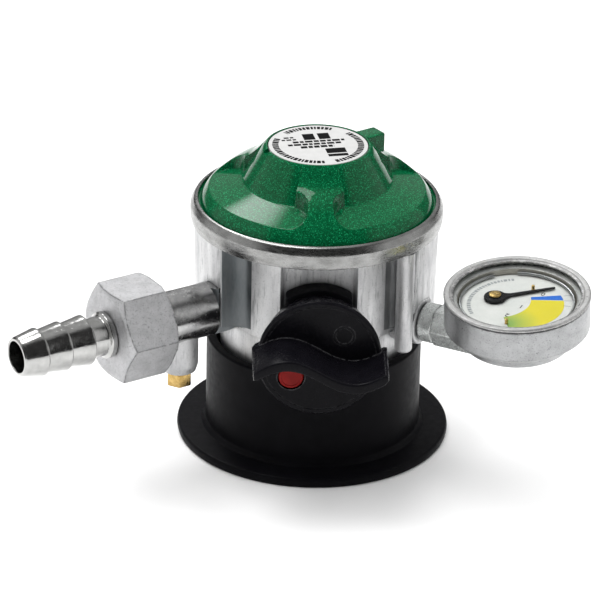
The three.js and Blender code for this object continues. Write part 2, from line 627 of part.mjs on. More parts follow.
function gaugeParts() {
  const clearance = (form) => form.translate(-GAUGE_REACH, 0, 0);
  const socket = prism(hexagon(9.8 + 2 * GAP, 30), 30, 50.5 + GAP).rotateY(Math.PI / 2);
  const notch = clearance(socket).rotateX(-radians(GAUGE_TILT));
  const head = new THREE.Group();
  head.rotation.x = radians(GAUGE_TILT);
  head.position.x = GAUGE_REACH;
  head.add(piece('gauge_case', cut(gaugeCase(), notch), 'zincPlate'), ...gaugeHead());
  return branch(GAUGE_ANGLE, STEM_Z,
    piece('gauge_stem', gaugeStem(), 'zincPlate'),
    head);
}

// ---- assembly ----
const regulator = new THREE.Group();
regulator.add(
  bodyCasting(),
  clampRing(),
  bonnet(),
  ...springStack(),
  diaphragmStem(),
  ...regulatingValve(),
  plunger(),
  ...socketParts(),
  lockingCollar(),
  knobParts(),
  outletParts(),
  gaugeParts(),
);

export default regulator;
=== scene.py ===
"""Looks of a quick-on gas cylinder regulator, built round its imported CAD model.

Lengths are in millimetres unless a comment says otherwise.
"""
import math

import bmesh
import bpy
from mathutils import Matrix, Vector


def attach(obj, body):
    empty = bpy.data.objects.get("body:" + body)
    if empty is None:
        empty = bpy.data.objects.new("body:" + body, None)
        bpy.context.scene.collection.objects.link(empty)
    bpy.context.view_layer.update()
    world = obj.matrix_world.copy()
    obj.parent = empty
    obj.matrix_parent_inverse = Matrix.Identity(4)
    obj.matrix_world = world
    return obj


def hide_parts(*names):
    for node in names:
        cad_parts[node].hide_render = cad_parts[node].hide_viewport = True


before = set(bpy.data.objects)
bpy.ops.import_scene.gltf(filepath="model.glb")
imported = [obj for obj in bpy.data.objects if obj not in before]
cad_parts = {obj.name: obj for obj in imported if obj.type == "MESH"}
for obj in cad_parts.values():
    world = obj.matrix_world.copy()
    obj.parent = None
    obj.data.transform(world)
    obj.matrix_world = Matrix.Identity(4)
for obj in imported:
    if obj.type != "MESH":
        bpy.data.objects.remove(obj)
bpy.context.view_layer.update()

MM = 0.001
TAU = 2 * math.pi
BODY = "regulator_body"

# Dimensions shared by several pieces, as in the CAD model. Angles are in degrees.
OUTLET_ANGLE, OUTLET_Z = 210.8, 42.5
GAUGE_ANGLE, STEM_Z, GAUGE_REACH, GAUGE_TILT = 331, 38.4, 58.4, 5.7
KNOB_Z = 38
PORT_REACH, PORT_Z = 41.5, 27.2  # the test plug's port, under the outlet
POINTER_PIVOT = -6.2  # the needle's axis, off the dial's centre
POINTER_ANGLE = 42
DIAL_TOP = 11.6


# ---------------- mesh helpers
def clamp(t):
    return max(0.0, min(1.0, t))


def step(a, b, t):
    """Smooth step from 0 at a to 1 at b."""
    t = clamp((t - a) / (b - a))
    return t * t * (3 - 2 * t)


def smooth_max(a, b, k):
    """The larger of a and b, rounded over where they are within k of each other."""
    h = clamp(0.5 + (a - b) / (2 * k))
    return b + (a - b) * h + k * h * (1 - h)


def smooth_min(a, b, k):
    return -smooth_max(-a, -b, k)


def polar(r, degrees, z=0.0):
    a = math.radians(degrees)
    return (r * math.cos(a), r * math.sin(a), z)


def rounded(points, closed=False, steps=5):
    """Rounds an outline's corners: each point is (x, y) or (x, y, radius)."""
    out = []
    count = len(points)
    for i, point in enumerate(points):
        corner = Vector(point[:2])
        radius = point[2] if len(point) > 2 else 0
        if radius <= 0 or (not closed and i in (0, count - 1)):
            out.append(tuple(corner))
            continue
        a = Vector(points[i - 1][:2]) - corner
        b = Vector(points[(i + 1) % count][:2]) - corner
        half = a.angle(b) / 2
        reach = min(radius / math.tan(half), a.length * 0.48, b.length * 0.48)
        radius = reach * math.tan(half)
        a.normalize()
        b.normalize()
        centre = corner + (a + b).normalized() * (radius / math.sin(half))
        start = corner + a * reach - centre
        end = corner + b * reach - centre
        first = math.atan2(start.y, start.x)
        sweep = (math.atan2(end.y, end.x) - first + math.pi) % TAU - math.pi
        for k in range(steps + 1):
            angle = first + sweep * k / steps
            out.append((centre.x + radius * math.cos(angle), centre.y + radius * math.sin(angle)))
    return out


def from_bmesh(name, bm):
    bmesh.ops.recalc_face_normals(bm, faces=bm.faces)
    mesh = bpy.data.meshes.new(name)
    bm.to_mesh(mesh)
    bm.free()
    obj = bpy.data.objects.new(name, mesh)
    bpy.context.scene.collection.objects.link(obj)
    return obj


def from_rings(name, rings, closed=False):
    """Skins rings of equal length; a ring of one point is a pole. closed joins the last ring to the first."""
    bm = bmesh.new()
    made = [[bm.verts.new(Vector(p) * MM) for p in ring] for ring in rings]
    pairs = list(zip(made, made[1:]))
    if closed:
        pairs.append((made[-1], made[0]))
    for a, b in pairs:
        count = max(len(a), len(b))
        for k in range(count):
            loop = [a[k % len(a)], a[(k + 1) % len(a)], b[(k + 1) % len(b)], b[k % len(b)]]
            loop = list(dict.fromkeys(loop))
            if len(loop) >= 3:
                bm.faces.new(loop)
    if not closed:
        for ring in (made[0], made[-1]):
            if len(ring) > 2:
                bm.faces.new(ring)
    return from_bmesh(name, bm)


def circle(r, z, steps):
    return [polar(r, 360 * k / steps, z) for k in range(steps)]


def lathe(name, profile, steps=144):
    """Solid of revolution about Z. A profile that leaves the axis closes on itself."""
    rings = [[(0, 0, z)] if r < 1e-6 else circle(r, z, steps) for r, z in profile]
    return from_rings(name, rings, closed=profile[0][0] > 1e-6)


def rod(r, z0, z1, steps=144):
    """Cylinder to cut or join with."""
    return lathe("t", [(0, z0), (r, z0), (r, z1), (0, z1)], steps)


def prism(name, outline, z0, z1):
    return from_rings(name, [[(x, y, z) for x, y in outline] for z in (z0, z1)])


def block(name, x0, x1, y0, y1, z0, z1):
    return prism(name, [(x0, y0), (x1, y0), (x1, y1), (x0, y1)], z0, z1)


def hexagon(flats, start):
    """Hexagon of a size over its flats, with its first corner at start degrees."""
    return [polar(flats / math.sqrt(3), start + 60 * k)[:2] for k in range(6)]


def arc(cx, cy, r, start, end, steps):
    points = (polar(r, start + (end - start) * k / steps) for k in range(steps + 1))
    return [(cx + x, cy + y) for x, y, _ in points]


def settle(obj):
    """Applies obj's modifiers."""
    graph = bpy.context.evaluated_depsgraph_get()
    mesh = bpy.data.meshes.new_from_object(obj.evaluated_get(graph))
    obj.modifiers.clear()
    obj.data = mesh
    return obj


def combine(obj, other, how):
    """Boolean of obj with other, which is used up."""
    modifier = obj.modifiers.new("boolean", "BOOLEAN")
    modifier.operation = how
    modifier.solver = "MANIFOLD"
    modifier.object = other
    settle(obj)
    bpy.data.objects.remove(other)
    return obj


def union(obj, *others):
    for other in others:
        combine(obj, other, "UNION")
    return obj


def cut(obj, *tools):
    for tool in tools:
        combine(obj, tool, "DIFFERENCE")
    return obj


def bevel(obj, width, segments=3, angle=35):
    modifier = obj.modifiers.new("bevel", "BEVEL")
    modifier.width = width * MM
    modifier.segments = segments
    modifier.limit_method = "ANGLE"
    modifier.angle_limit = math.radians(angle)
    return settle(obj)


def metres(matrix):
    """The same matrix with its shift turned from millimetres into metres."""
    scaled = matrix.copy()
    scaled.translation = scaled.translation * MM
    return scaled


def move(obj, *matrices):
    """Moves the mesh itself; the last matrix acts first."""
    total = Matrix.Identity(4)
    for matrix in matrices:
        total = total @ matrix
    obj.data.transform(metres(total))
    return obj


def turn(degrees, axis):
    return Matrix.Rotation(math.radians(degrees), 4, axis)


def shift(x=0, y=0, z=0):
    return Matrix.Translation((x, y, z))


LIE_ALONG_X = turn(90, "Y")
LIE_ALONG_Y = turn(90, "X")  # turns +Z to -Y, towards the front
TO_OUTLET = shift(z=OUTLET_Z) @ turn(OUTLET_ANGLE, "Z")
TO_GAUGE = shift(z=STEM_Z) @ turn(GAUGE_ANGLE, "Z")
TO_HEAD = TO_GAUGE @ shift(GAUGE_REACH) @ turn(GAUGE_TILT, "X")
TO_KNOB = shift(z=KNOB_Z) @ LIE_ALONG_Y
FROM_OUTLET, FROM_HEAD = TO_OUTLET.inverted(), TO_HEAD.inverted()


# ---------------- material helpers
class Look:
    """A Principled material with helpers for its nodes."""

    def __init__(self, name, colour, roughness, metallic=0.0, **sockets):
        self.material = bpy.data.materials.new(name)
        self.material.use_nodes = True
        self.tree = self.material.node_tree
        self.shader = self.tree.nodes["Principled BSDF"]
        self.set("Base Color", (*colour, 1))
        self.set("Roughness", roughness)
        self.set("Metallic", metallic)
        for socket, value in sockets.items():
            self.set(socket.replace("_", " "), value)

    def set(self, socket, value):
        self.shader.inputs[socket].default_value = value

    def node(self, kind, **values):
        """A new node. Each value is for one of its sockets or, failing that, for the node itself."""
        node = self.tree.nodes.new(kind)
        for key, value in values.items():
            if key in node.inputs:
                node.inputs[key].default_value = value
            else:
                setattr(node, key, value)
        return node

    def link(self, a, b):
        self.tree.links.new(a, b)

    def place(self, scale=(1, 1, 1)):
        """Object coordinates in millimetres, stretched."""
        where = self.node("ShaderNodeTexCoord").outputs["Object"]
        mapping = self.node("ShaderNodeMapping")
        mapping.inputs["Scale"].default_value = [s / MM for s in scale]
        self.link(where, mapping.inputs["Vector"])
        return mapping.outputs["Vector"]

    def noise(self, scale, detail=4, rough=0.55, stretch=(1, 1, 1)):
        node = self.node("ShaderNodeTexNoise", Scale=scale, Detail=detail, Roughness=rough)
        self.link(self.place(stretch), node.inputs["Vector"])
        return node.outputs["Fac"]

    def ramp(self, fac, stops):
        """Colour ramp. Each stop is a place and a colour or a grey level."""
        node = self.node("ShaderNodeValToRGB")
        elements = node.color_ramp.elements
        while len(elements) < len(stops):
            elements.new(0.5)
        for element, (at, colour) in zip(elements, stops):
            element.position = at
            element.color = (*colour, 1) if isinstance(colour, tuple) else (colour, colour, colour, 1)
        self.link(fac, node.inputs["Fac"])
        return node.outputs["Color"]

    def colours(self, fac, stops):
        self.link(self.ramp(fac, stops), self.shader.inputs["Base Color"])

    def blend(self, mask, colour):
        """Mixes colour over the base colour where mask is 1."""
        base = self.shader.inputs["Base Color"].links[0].from_socket
        mix = self.node("ShaderNodeMix", data_type="RGBA")
        self.link(mask, mix.inputs["Factor"])
        self.link(base, mix.inputs["A"])
        mix.inputs["B"].default_value = (*colour, 1)
        self.link(mix.outputs["Result"], self.shader.inputs["Base Color"])

    def multiply(self, a, b):
        node = self.node("ShaderNodeMath", operation="MULTIPLY")
        self.link(a, node.inputs[0])
        self.link(b, node.inputs[1])
        return node.outputs["Value"]

    def edges(self, width, low, high):
        """1 along edges, where the rounded and true normals' cosine is low, broken up by noise; else 0."""
        soft = self.node("ShaderNodeBevel", Radius=width * MM)
        soft.samples = 6
        geometry = self.node("ShaderNodeNewGeometry")
        dot = self.node("ShaderNodeVectorMath", operation="DOT_PRODUCT")
        self.link(soft.outputs["Normal"], dot.inputs[0])
        self.link(geometry.outputs["Normal"], dot.inputs[1])
        sharp = self.ramp(dot.outputs["Value"], [(low, 1.0), (high, 0.0)])
        broken = self.ramp(self.noise(0.9, 4), [(0.36, 0.0), (0.52, 1.0)])
        return self.multiply(sharp, broken)

    def painted_shade_mask(self, reach):
        """Mask for painted shade: 1 in hollows and at the foot of other pieces, 0 in the open."""
        near = self.node("ShaderNodeAmbientOcclusion", Distance=reach * MM)
        near.samples = 8
        return self.ramp(near.outputs["AO"], [(0.25, 1.0), (0.85, 0.0)])

    def streaks(self):
        """Thin rubbed streaks up and down the piece, broken by patches."""
        lines = self.ramp(self.noise(1.3, 4, 0.6, (1, 1, 0.12)), [(0.52, 0.0), (0.64, 0.9)])
        patches = self.ramp(self.noise(0.12, 3), [(0.38, 0.0), (0.55, 1.0)])
        return self.multiply(lines, patches)

    def gloss(self, fac, low, high):
        """Roughness from low to high as a noise goes through its middle range."""
        ends = {"From Min": 0.3, "From Max": 0.7, "To Min": low, "To Max": high}
        node = self.node("ShaderNodeMapRange", **ends)
        self.link(fac, node.inputs["Value"])
        self.link(node.outputs["Result"], self.shader.inputs["Roughness"])

    def bump(self, *heights):
        """Stacks (height, strength, distance in mm)."""
        normal = None
        for height, strength, distance in heights:
            node = self.node("ShaderNodeBump", Strength=strength, Distance=distance * MM)
            self.link(height, node.inputs["Height"])
            if normal is not None:
                self.link(normal, node.inputs["Normal"])
            normal = node.outputs["Normal"]
        self.link(normal, self.shader.inputs["Normal"])


def cast_metal(name, metallic, level=1.0):
    """Die-cast zinc, mottled and rubbed, with painted shade in its hollows. level scales its brightness."""
    look = Look(name, (0.5, 0.5, 0.51), 0.3, metallic)
    mottled = look.noise(0.16, 5, 0.6, (1, 1, 0.3))
    tones = ((0.28, (0.4, 0.405, 0.415)), (0.45, (0.62, 0.62, 0.625)), (0.7, (0.73, 0.73, 0.73)))
    look.colours(mottled, [(at, tuple(c * level for c in tone)) for at, tone in tones])
    look.blend(look.streaks(), (0.38, 0.385, 0.39))
    look.blend(look.ramp(look.noise(1.9, 5, 0.75), [(0.55, 0.0), (0.68, 0.5)]), (0.25, 0.255, 0.26))
    # painted shade: darker in hollows and at the foot of other pieces
    look.blend(look.painted_shade_mask(2.5), (0.16, 0.165, 0.17))
    look.gloss(look.noise(0.5, 5, 0.6, (1, 1, 0.3)), 0.36, 0.58)
    look.bump((look.noise(0.22, 3, 0.5, (1, 1, 0.2)), 0.3, 0.3), (look.noise(1.6, 5, 0.7), 0.3, 0.06))
    return look.material


def shaded_wall_metal(name, dark, pale):
    """Casting metal darkened as painted shade, for the walls of the recesses."""
    look = Look(name, dark, 0.4, 0.9)
    look.colours(look.noise(0.25, 5, 0.6, (1, 1, 0.3)), [(0.3, dark), (0.7, pale)])
    look.gloss(look.noise(0.5, 5, 0.6, (1, 1, 0.3)), 0.34, 0.5)
    look.bump((look.noise(0.3, 3, 0.5, (1, 1, 0.2)), 0.3, 0.3), (look.noise(2.6, 4, 0.7), 0.2, 0.04))
    return look.material


def pipe_metal():
    """The spigot, polished brighter than the rest of the casting, with painted shade where it meets the body.
    """
    look = Look("polished_spigot", (0.55, 0.55, 0.55), 0.2, 1.0)
    look.colours(look.noise(0.3, 4), [(0.3, (0.4, 0.4, 0.405)), (0.65, (0.58, 0.58, 0.575))])
    # painted shade: nearly black where the spigot meets the body and in hollows
    look.blend(look.painted_shade_mask(4), (0.07, 0.075, 0.08))
    look.gloss(look.noise(0.8, 5, 0.6), 0.14, 0.3)
    look.bump((look.noise(0.3, 3), 0.2, 0.25), (look.noise(3, 4, 0.7), 0.1, 0.02))
    return look.material


def bright_metal(name, colour, gloss, pits, ripple=0.1, edge=None, metallic=1.0, grain=0.08):
    """Plated or machined metal, with roughness between the two of gloss. edge is a colour blended in broken
    lines along its edges.

    pits, ripple and grain are the strengths of its bumps; a strong grain also shows as dark specks.
    """
    look = Look(name, colour, gloss[0], metallic)
    look.colours(look.noise(0.35, 4), [(0.3, tuple(c * 0.8 for c in colour)), (0.6, colour)])
    if grain > 0.3:
        specks = look.ramp(look.noise(2.4, 5, 0.75), [(0.54, 0.0), (0.64, 0.8)])
        look.blend(specks, tuple(c * 0.4 for c in colour))
    if edge:
        look.blend(look.edges(0.9, 0.9, 0.99), edge)
    look.gloss(look.noise(0.9, 5, 0.65), *gloss)
    cells = look.node("ShaderNodeTexVoronoi", Scale=1.1)
    look.link(look.place(), cells.inputs["Vector"])
    hole = look.ramp(cells.outputs["Distance"], [(0.06, 0.0), (0.16, 1.0)])
    look.bump((look.noise(0.4, 3), ripple, 0.25), (look.noise(4, 4, 0.7), grain, 0.03), (hole, pits, 0.02))
    return look.material


def ring_metal():
    """The clamp ring, polished along its length."""
    look = Look("polished_ring", (0.5, 0.5, 0.49), 0.12, 1.0)
    look.colours(look.noise(0.2, 4, 0.6, (1, 1, 2)), [(0.3, (0.22, 0.22, 0.215)), (0.6, (0.34, 0.34, 0.335))])
    look.gloss(look.noise(0.6, 5, 0.6, (1, 1, 4)), 0.2, 0.36)
    look.bump((look.noise(0.3, 2, 0.5, (1, 1, 3)), 0.15, 0.25),
              (look.noise(2.5, 4, 0.7, (1, 1, 6)), 0.08, 0.02))
    return look.material


def green_flake():
    """Clear green lacquer over metal flakes."""
    look = Look("green_flake", (0.0, 0.1, 0.045), 0.45, 0.12, Specular_IOR_Level=0.02,
                Coat_Weight=0.9, Coat_Roughness=0.05, Coat_IOR=1.3)
    flake = look.node("ShaderNodeTexVoronoi", Scale=5.5)
    look.link(look.place(), flake.inputs["Vector"])
    sparkle = look.node("ShaderNodeSeparateColor")
    look.link(flake.outputs["Color"], sparkle.inputs["Color"])
    look.colours(sparkle.outputs["Red"], [
        (0.0, (0.0, 0.04, 0.013)), (0.5, (0.0, 0.072, 0.024)),
        (0.85, (0.0, 0.1, 0.034)), (0.98, (0.01, 0.26, 0.1))])
    look.bump((sparkle.outputs["Green"], 0.22, 0.03), (look.noise(0.35, 3), 0.1, 0.3))
    return look.material


def plastic(name, colour, gloss, grain=0.15, shine=0.09, edge=None):
    """Moulded plastic. gloss and edge are as in bright_metal."""
    look = Look(name, colour, gloss[0], 0.0, Specular_IOR_Level=shine)
    pale = tuple(c * 1.5 + 0.0005 for c in colour)
    look.colours(look.noise(0.25, 5), [(0.3, colour), (0.75, pale)])
    if edge:
        look.blend(look.edges(0.6, 0.88, 0.985), edge)
    look.gloss(look.noise(0.6, 5, 0.6), *gloss)
    look.bump((look.noise(5, 3, 0.6), grain, 0.03), (look.noise(0.2, 2), 0.1, 0.25))
    return look.material


def brass_metal():
    look = Look("brass", (0.62, 0.42, 0.15), 0.25, 1.0)
    look.colours(look.noise(0.5, 4), [(0.3, (0.42, 0.27, 0.08)), (0.65, (0.66, 0.46, 0.18))])
    look.gloss(look.noise(1.2, 4), 0.18, 0.4)
    look.bump((look.noise(2.5, 4, 0.7), 0.12, 0.03))
    return look.material


def rubber():
    look = Look("rubber", (0.02, 0.02, 0.02), 0.7)
    look.colours(look.noise(0.8, 4), [(0.3, (0.012, 0.012, 0.012)), (0.7, (0.03, 0.03, 0.03))])
    look.gloss(look.noise(1.5, 4), 0.55, 0.85)
    look.bump((look.noise(4, 4, 0.7), 0.25, 0.04))
    return look.material


def printed(name, colour, roughness=0.45):
    """Paint or ink, nearly without shine."""
    look = Look(name, colour, roughness, Specular_IOR_Level=0.04)
    look.colours(look.noise(0.5, 3), [(0.3, tuple(c * 0.93 for c in colour)), (0.7, colour)])
    look.bump((look.noise(6, 2), 0.05, 0.01))
    return look.material


def sector_print():
    """Yellow that turns green towards the end stop."""
    look = Look("sector_print", (0.8, 0.68, 0.02), 0.45)
    where = look.node("ShaderNodeTexCoord").outputs["Object"]
    end_pin = stop_pins()[1]
    distance = look.node("ShaderNodeVectorMath", operation="DISTANCE")
    distance.inputs[1].default_value = metres(TO_HEAD) @ (Vector((*end_pin, DIAL_TOP)) * MM)
    look.link(where, distance.inputs[0])
    spread = look.node("ShaderNodeMapRange")
    spread.inputs["From Max"].default_value = 12 * MM
    look.link(distance.outputs["Value"], spread.inputs["Value"])
    look.colours(spread.outputs["Result"], [(0.1, (0.15, 0.27, 0.045)), (0.75, (0.5, 0.42, 0.0))])
    return look.material


def glass():
    """The gauge's clear lens: slightly smeared, with a faint reflection."""
    look = Look("gauge_lens", (1, 1, 1), 0.03)
    clear = look.node("ShaderNodeBsdfTransparent", Color=(0.97, 0.98, 0.975, 1))
    shiny = look.node("ShaderNodeBsdfGlossy", Roughness=0.05)
    mix = look.node("ShaderNodeMixShader", Fac=0.008)
    look.link(clear.outputs["BSDF"], mix.inputs[1])
    look.link(shiny.outputs["BSDF"], mix.inputs[2])
    output = look.tree.nodes["Material Output"]
    look.link(mix.outputs["Shader"], output.inputs["Surface"])
    look.tree.nodes.remove(look.shader)
    smear = look.ramp(look.noise(0.12, 4), [(0.35, (0.955, 0.965, 0.96)), (0.65, (0.985, 0.99, 0.985))])
    look.link(smear, clear.inputs["Color"])
    look.shader = shiny
    look.gloss(look.noise(0.3, 4), 0.03, 0.09)
    return look.material


def stop_pins():
    """Places of the zero pin and the end pin on the dial."""
    places = (polar(10.8, 50), polar(12.4, -52))
    return [(POINTER_PIVOT + x, y) for x, y, _ in places]


CAST = cast_metal("cast_zinc", 0.66)
# painted light: a brighter, less metallic copy of the casting for the pad, which the knob shades
PAINTED_LIGHT_CAST = cast_metal("cast_painted_light", 0.1, 1.3)
# painted shade: darker copies of the casting for the recess walls, the left one darker than the right
WALL_SHADE_DARK = shaded_wall_metal("recess_wall_painted_shade_dark", (0.07, 0.08, 0.085), (0.17, 0.18, 0.185))
WALL_SHADE_PALE = shaded_wall_metal("recess_wall_painted_shade_pale", (0.17, 0.175, 0.18), (0.34, 0.345, 0.35))
PIPE = pipe_metal()
RING = ring_metal()
GREEN = green_flake()
NICKEL = bright_metal("bright_nickel", (0.5, 0.5, 0.49), (0.08, 0.22), pits=0.35, ripple=0.2)
NUT = bright_metal("nut_plate", (0.52, 0.52, 0.53), (0.38, 0.55), pits=0.9, ripple=0.12,
                   edge=(0.1, 0.1, 0.1), metallic=0.6, grain=0.8)
GAUGE_METAL = bright_metal("gauge_zinc", (0.42, 0.425, 0.43), (0.26, 0.44), pits=0.7,
                           edge=(0.06, 0.06, 0.065), metallic=0.72, grain=0.8)
GAUGE_RIM = bright_metal("gauge_rim", (0.5, 0.5, 0.495), (0.25, 0.4), pits=0.5,
                         edge=(0.03, 0.03, 0.032), metallic=0.6, grain=0.2)
STEM_METAL = bright_metal("stem_zinc", (0.8, 0.83, 0.815), (0.2, 0.36), pits=0.8, ripple=0.3,
                          edge=(0.3, 0.3, 0.3), metallic=0.55, grain=0.4)
GAUGE_INSIDE = bright_metal("gauge_inside", (0.42, 0.4, 0.36), (0.35, 0.5), pits=0.3, metallic=0.5)
STEEL = bright_metal("spring_steel", (0.42, 0.43, 0.44), (0.25, 0.45), pits=0.1)
BRASS = brass_metal()
RUBBER = rubber()
BLACK_SATIN = plastic("black_satin", (0.0032, 0.0031, 0.004), (0.34, 0.5), grain=0.2, shine=0.05)
# its paler edge colour is a painted highlight along the knob's edges
BLACK_GLOSS = plastic("black_gloss", (0.0032, 0.0030, 0.0042), (0.2, 0.32), grain=0.06, shine=0.075,
                      edge=(0.1, 0.1, 0.105))
RED = plastic("red_insert", (0.2, 0.009, 0.008), (0.32, 0.45))
WHITE = printed("label_white", (0.46, 0.46, 0.455), 0.35)
DIAL_WHITE = printed("dial_white", (0.5, 0.5, 0.49), 0.4)
INK = printed("ink", (0.003, 0.003, 0.0032))
BLUE = printed("blue_print", (0.03, 0.12, 0.45))
GREY_INK = printed("grey_ink", (0.25, 0.26, 0.27))
POINTER_BLACK = printed("pointer_black", (0.012, 0.012, 0.013), 0.4)
SECTOR = sector_print()
GLASS = glass()


def show(obj, material, body, nodes=(), angle=30):
    """Finishes a new piece; edges sharper than angle stay sharp."""
    obj.data.shade_smooth()
    obj.data.set_sharp_from_angle(angle=math.radians(angle))
    obj.data.materials.clear()
    obj.data.materials.append(material)
    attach(obj, body)
    if nodes:
        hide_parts(*nodes)
    return obj


def paint_faces(obj, extra, choose):
    """Adds the extra materials, and gives each face the one that choose returns for its centre."""
    for material in extra:
        obj.data.materials.append(material)
    names = [material.name for material in obj.data.materials]
    for face in obj.data.polygons:
        face.material_index = names.index(choose(face.center / MM).name)


# ---------------- body casting
# From the bottom: the skirt with the retaining ring's groove, the barrel with its thicker front and the flat
# pad behind the collar's tongue, the drum with its two recesses, and the flange on its neck.
SKIRT_R, SKIRT_TOP = 21.5, 26
GROOVE_R, GROOVE_BASE, GROOVE_TOP = 20.4, 2.9, 4.5
BARREL_R, FRONT_R, DRUM_R = 24.9, 26.5, 31.8
RECESS_Y, PAD_Y, PAD_HALF = 19.6, 22.9, 9.6
DRUM_BASE, FRONT_BASE, DRUM_TOP = 37.5, 36.0, 60.6
NECK_R, FLANGE_R, FLANGE_BASE = 31.0, 31.9, 61.7
SPIGOT_R, SPIGOT_ROOT = 6.95, 33.5


def front_radius(degrees, plain):
    """Radius of the barrel with the flat pad at its front, for a barrel of radius plain."""
    depth = -math.sin(math.radians(degrees))
    if depth <= 0.5:
        return plain
    edge = math.degrees(math.asin(PAD_HALF / FRONT_R)) + 0.35
    off = abs((degrees - 270 + 180) % 360 - 180)  # degrees away from the front
    return plain + (min(plain, PAD_Y / depth) - plain) * step(edge + 0.45, edge - 0.45, off)


def drum_radius(degrees, z):
    """Radius of the drum, which ends on a slightly hollow wall on either side of the front."""
    plain = DRUM_R - 0.2 + 0.012 * (z - DRUM_BASE)
    depth = -math.sin(math.radians(degrees))
    if depth <= 0.3:
        return plain
    wall = RECESS_Y / depth
    x = wall * math.cos(math.radians(degrees))
    hollow = 0.75 * math.sin(math.pi * clamp((abs(x) - 17.5) / 8)) if 17.5 < abs(x) < 25.5 else 0
    return smooth_min(plain, (RECESS_Y - hollow) / depth, 0.35)


def body_radius(degrees, z):
    """Radius of the casting's outside, without its spigot, bosses and pillar."""
    if z < SKIRT_TOP:
        return GROOVE_R if GROOVE_BASE <= z <= GROOVE_TOP else SKIRT_R
    if z > DRUM_TOP + 0.3:
        return NECK_R if z < FLANGE_BASE else FLANGE_R
    barrel = front_radius(degrees, BARREL_R)
    front = front_radius(degrees, FRONT_R)
    above_front = barrel + (front - barrel) * step(FRONT_BASE - 0.3, FRONT_BASE + 0.5, z)
    drum = smooth_max(drum_radius(degrees, z), above_front, 0.4)
    return above_front + (drum - above_front) * step(DRUM_BASE - 0.35, DRUM_BASE + 0.75, z)


def fine_angles():
    """Angles round the body, denser where its outline turns a corner."""
    angles = {round(1.5 * k, 3) for k in range(240)}
    for corner in (217, 221, 226.5, 248.5, 291.5, 313.5, 319, 323):
        angles |= {round((corner - 3 + 0.25 * k) % 360, 3) for k in range(25)}
    return sorted(angles)


def fine_heights():
    """Heights of the body's rings, in close pairs at its steps and denser at the foot of the drum."""
    low = [1.5, 2.88, GROOVE_BASE, GROOVE_TOP, 4.52, 15, 25.98, 26.0, 28, 30, 32, 34, 35.4]
    foot = [35.6 + 0.13 * k for k in range(22)]
    wall = [38.8 + 1.5 * k for k in range(14)]
    top = [60.0, DRUM_TOP, 60.9, 60.92, 61.68, FLANGE_BASE, 63]
    return low + foot + wall + top


def body_visual():
    """The casting with its spigot, the test plug's boss, the gauge's boss and the pillar."""
    angles = fine_angles()
    rings = [[polar(body_radius(a, z), a, z) for a in angles] for z in fine_heights()]
    body = from_rings("body", rings)
    spigot = lathe("spigot", rounded([(0, 12), (SPIGOT_R, 12), (SPIGOT_R, 57, 0.5), (0, 57)]), 96)
    move(spigot, TO_OUTLET, LIE_ALONG_X)
    root = move(block("t", 0, SPIGOT_ROOT, -15, 15, -10, 10), TO_OUTLET)
    combine(root, block("t", -40, 0, -45, -18.8, 30, DRUM_TOP), "INTERSECT")
    cut(spigot, root)
    bottom = PORT_Z - OUTLET_Z
    boss = lathe("boss", rounded([
        (0, bottom), (4.3, bottom, 0.2), (4.9, bottom + 2, 2), (4.95, -4), (0, -4)]), 72)
    move(boss, TO_OUTLET, shift(PORT_REACH))
    gauge_boss = lathe("gauge_boss", rounded([(0, 12), (6.3, 12), (6.3, 31.8, 0.6), (0, 31.8)]), 72)
    move(gauge_boss, TO_GAUGE, LIE_ALONG_X)
    profile = rounded([(0, 32.3), (2.3, 32.3, 1.9), (2.35, DRUM_TOP), (0, DRUM_TOP)], steps=8)
    pillar = move(lathe("pillar", profile, 48), shift(22.3, -20.7))
    union(body, spigot, boss, gauge_boss, pillar)
    return cut_hollows(body)


def cut_hollows(body):
    """Cuts the inside of the casting and adds the two posts that carry the lever's pin."""
    hollows = [
        # along the axis: the valve's socket, the chamber under the diaphragm and the plunger's bore
        rod(17.7, 0, 25),
        lathe("t", [(0, 48), (20.5, 48), (20.5, 62), (27, 62), (27, 64), (0, 64)]),
        rod(5.4, 24, 44.4, 48),
        # the knob's shaft, the gas's way from the plunger's bore and the inlet orifice
        move(lathe("t", [(0, 2), (3.5, 2), (3.5, 17), (5.3, 17), (5.3, 30), (0, 30)], 48), TO_KNOB),
        move(rod(1.6, -13.5, -3, 24), shift(z=42), LIE_ALONG_Y),
        move(rod(2.8, 41, 49, 32), shift(0, 12)),
        # the outlet, its way up to the chamber, the gauge's port and the test plug's port
        move(lathe("t", [(0, 13), (2.4, 13), (2.4, 37), (4.4, 38), (4.4, 60), (0, 60)], 48),
             TO_OUTLET, LIE_ALONG_X),
        move(rod(3.4, 0, 8, 32), TO_OUTLET, shift(15.5)),
        move(lathe("t", [(0, 4), (1.6, 4), (1.6, 21), (4.2, 21), (4.2, 33), (0, 33)], 32),
             TO_GAUGE, LIE_ALONG_X),
        move(rod(1.9, -18.5, 0, 24), TO_OUTLET, shift(PORT_REACH)),
    ]
    for angle in (45, 135, 225, 315):  # the locking balls
        hole = rod(2.8, 15, 23, 32)
        hollows.append(move(hole, shift(z=10.5), turn(angle, "Z"), LIE_ALONG_X))
    cut(body, *hollows)
    for side in (-1, 1):
        post = block("t", *sorted((3.1 * side, 4.8 * side)), 6, 10, 47, 56)
        pin_hole = rod(1.05, -6, 6, 24)
        cut(post, move(pin_hole, shift(0, 8, 54), LIE_ALONG_X))
        union(body, post)
    return body


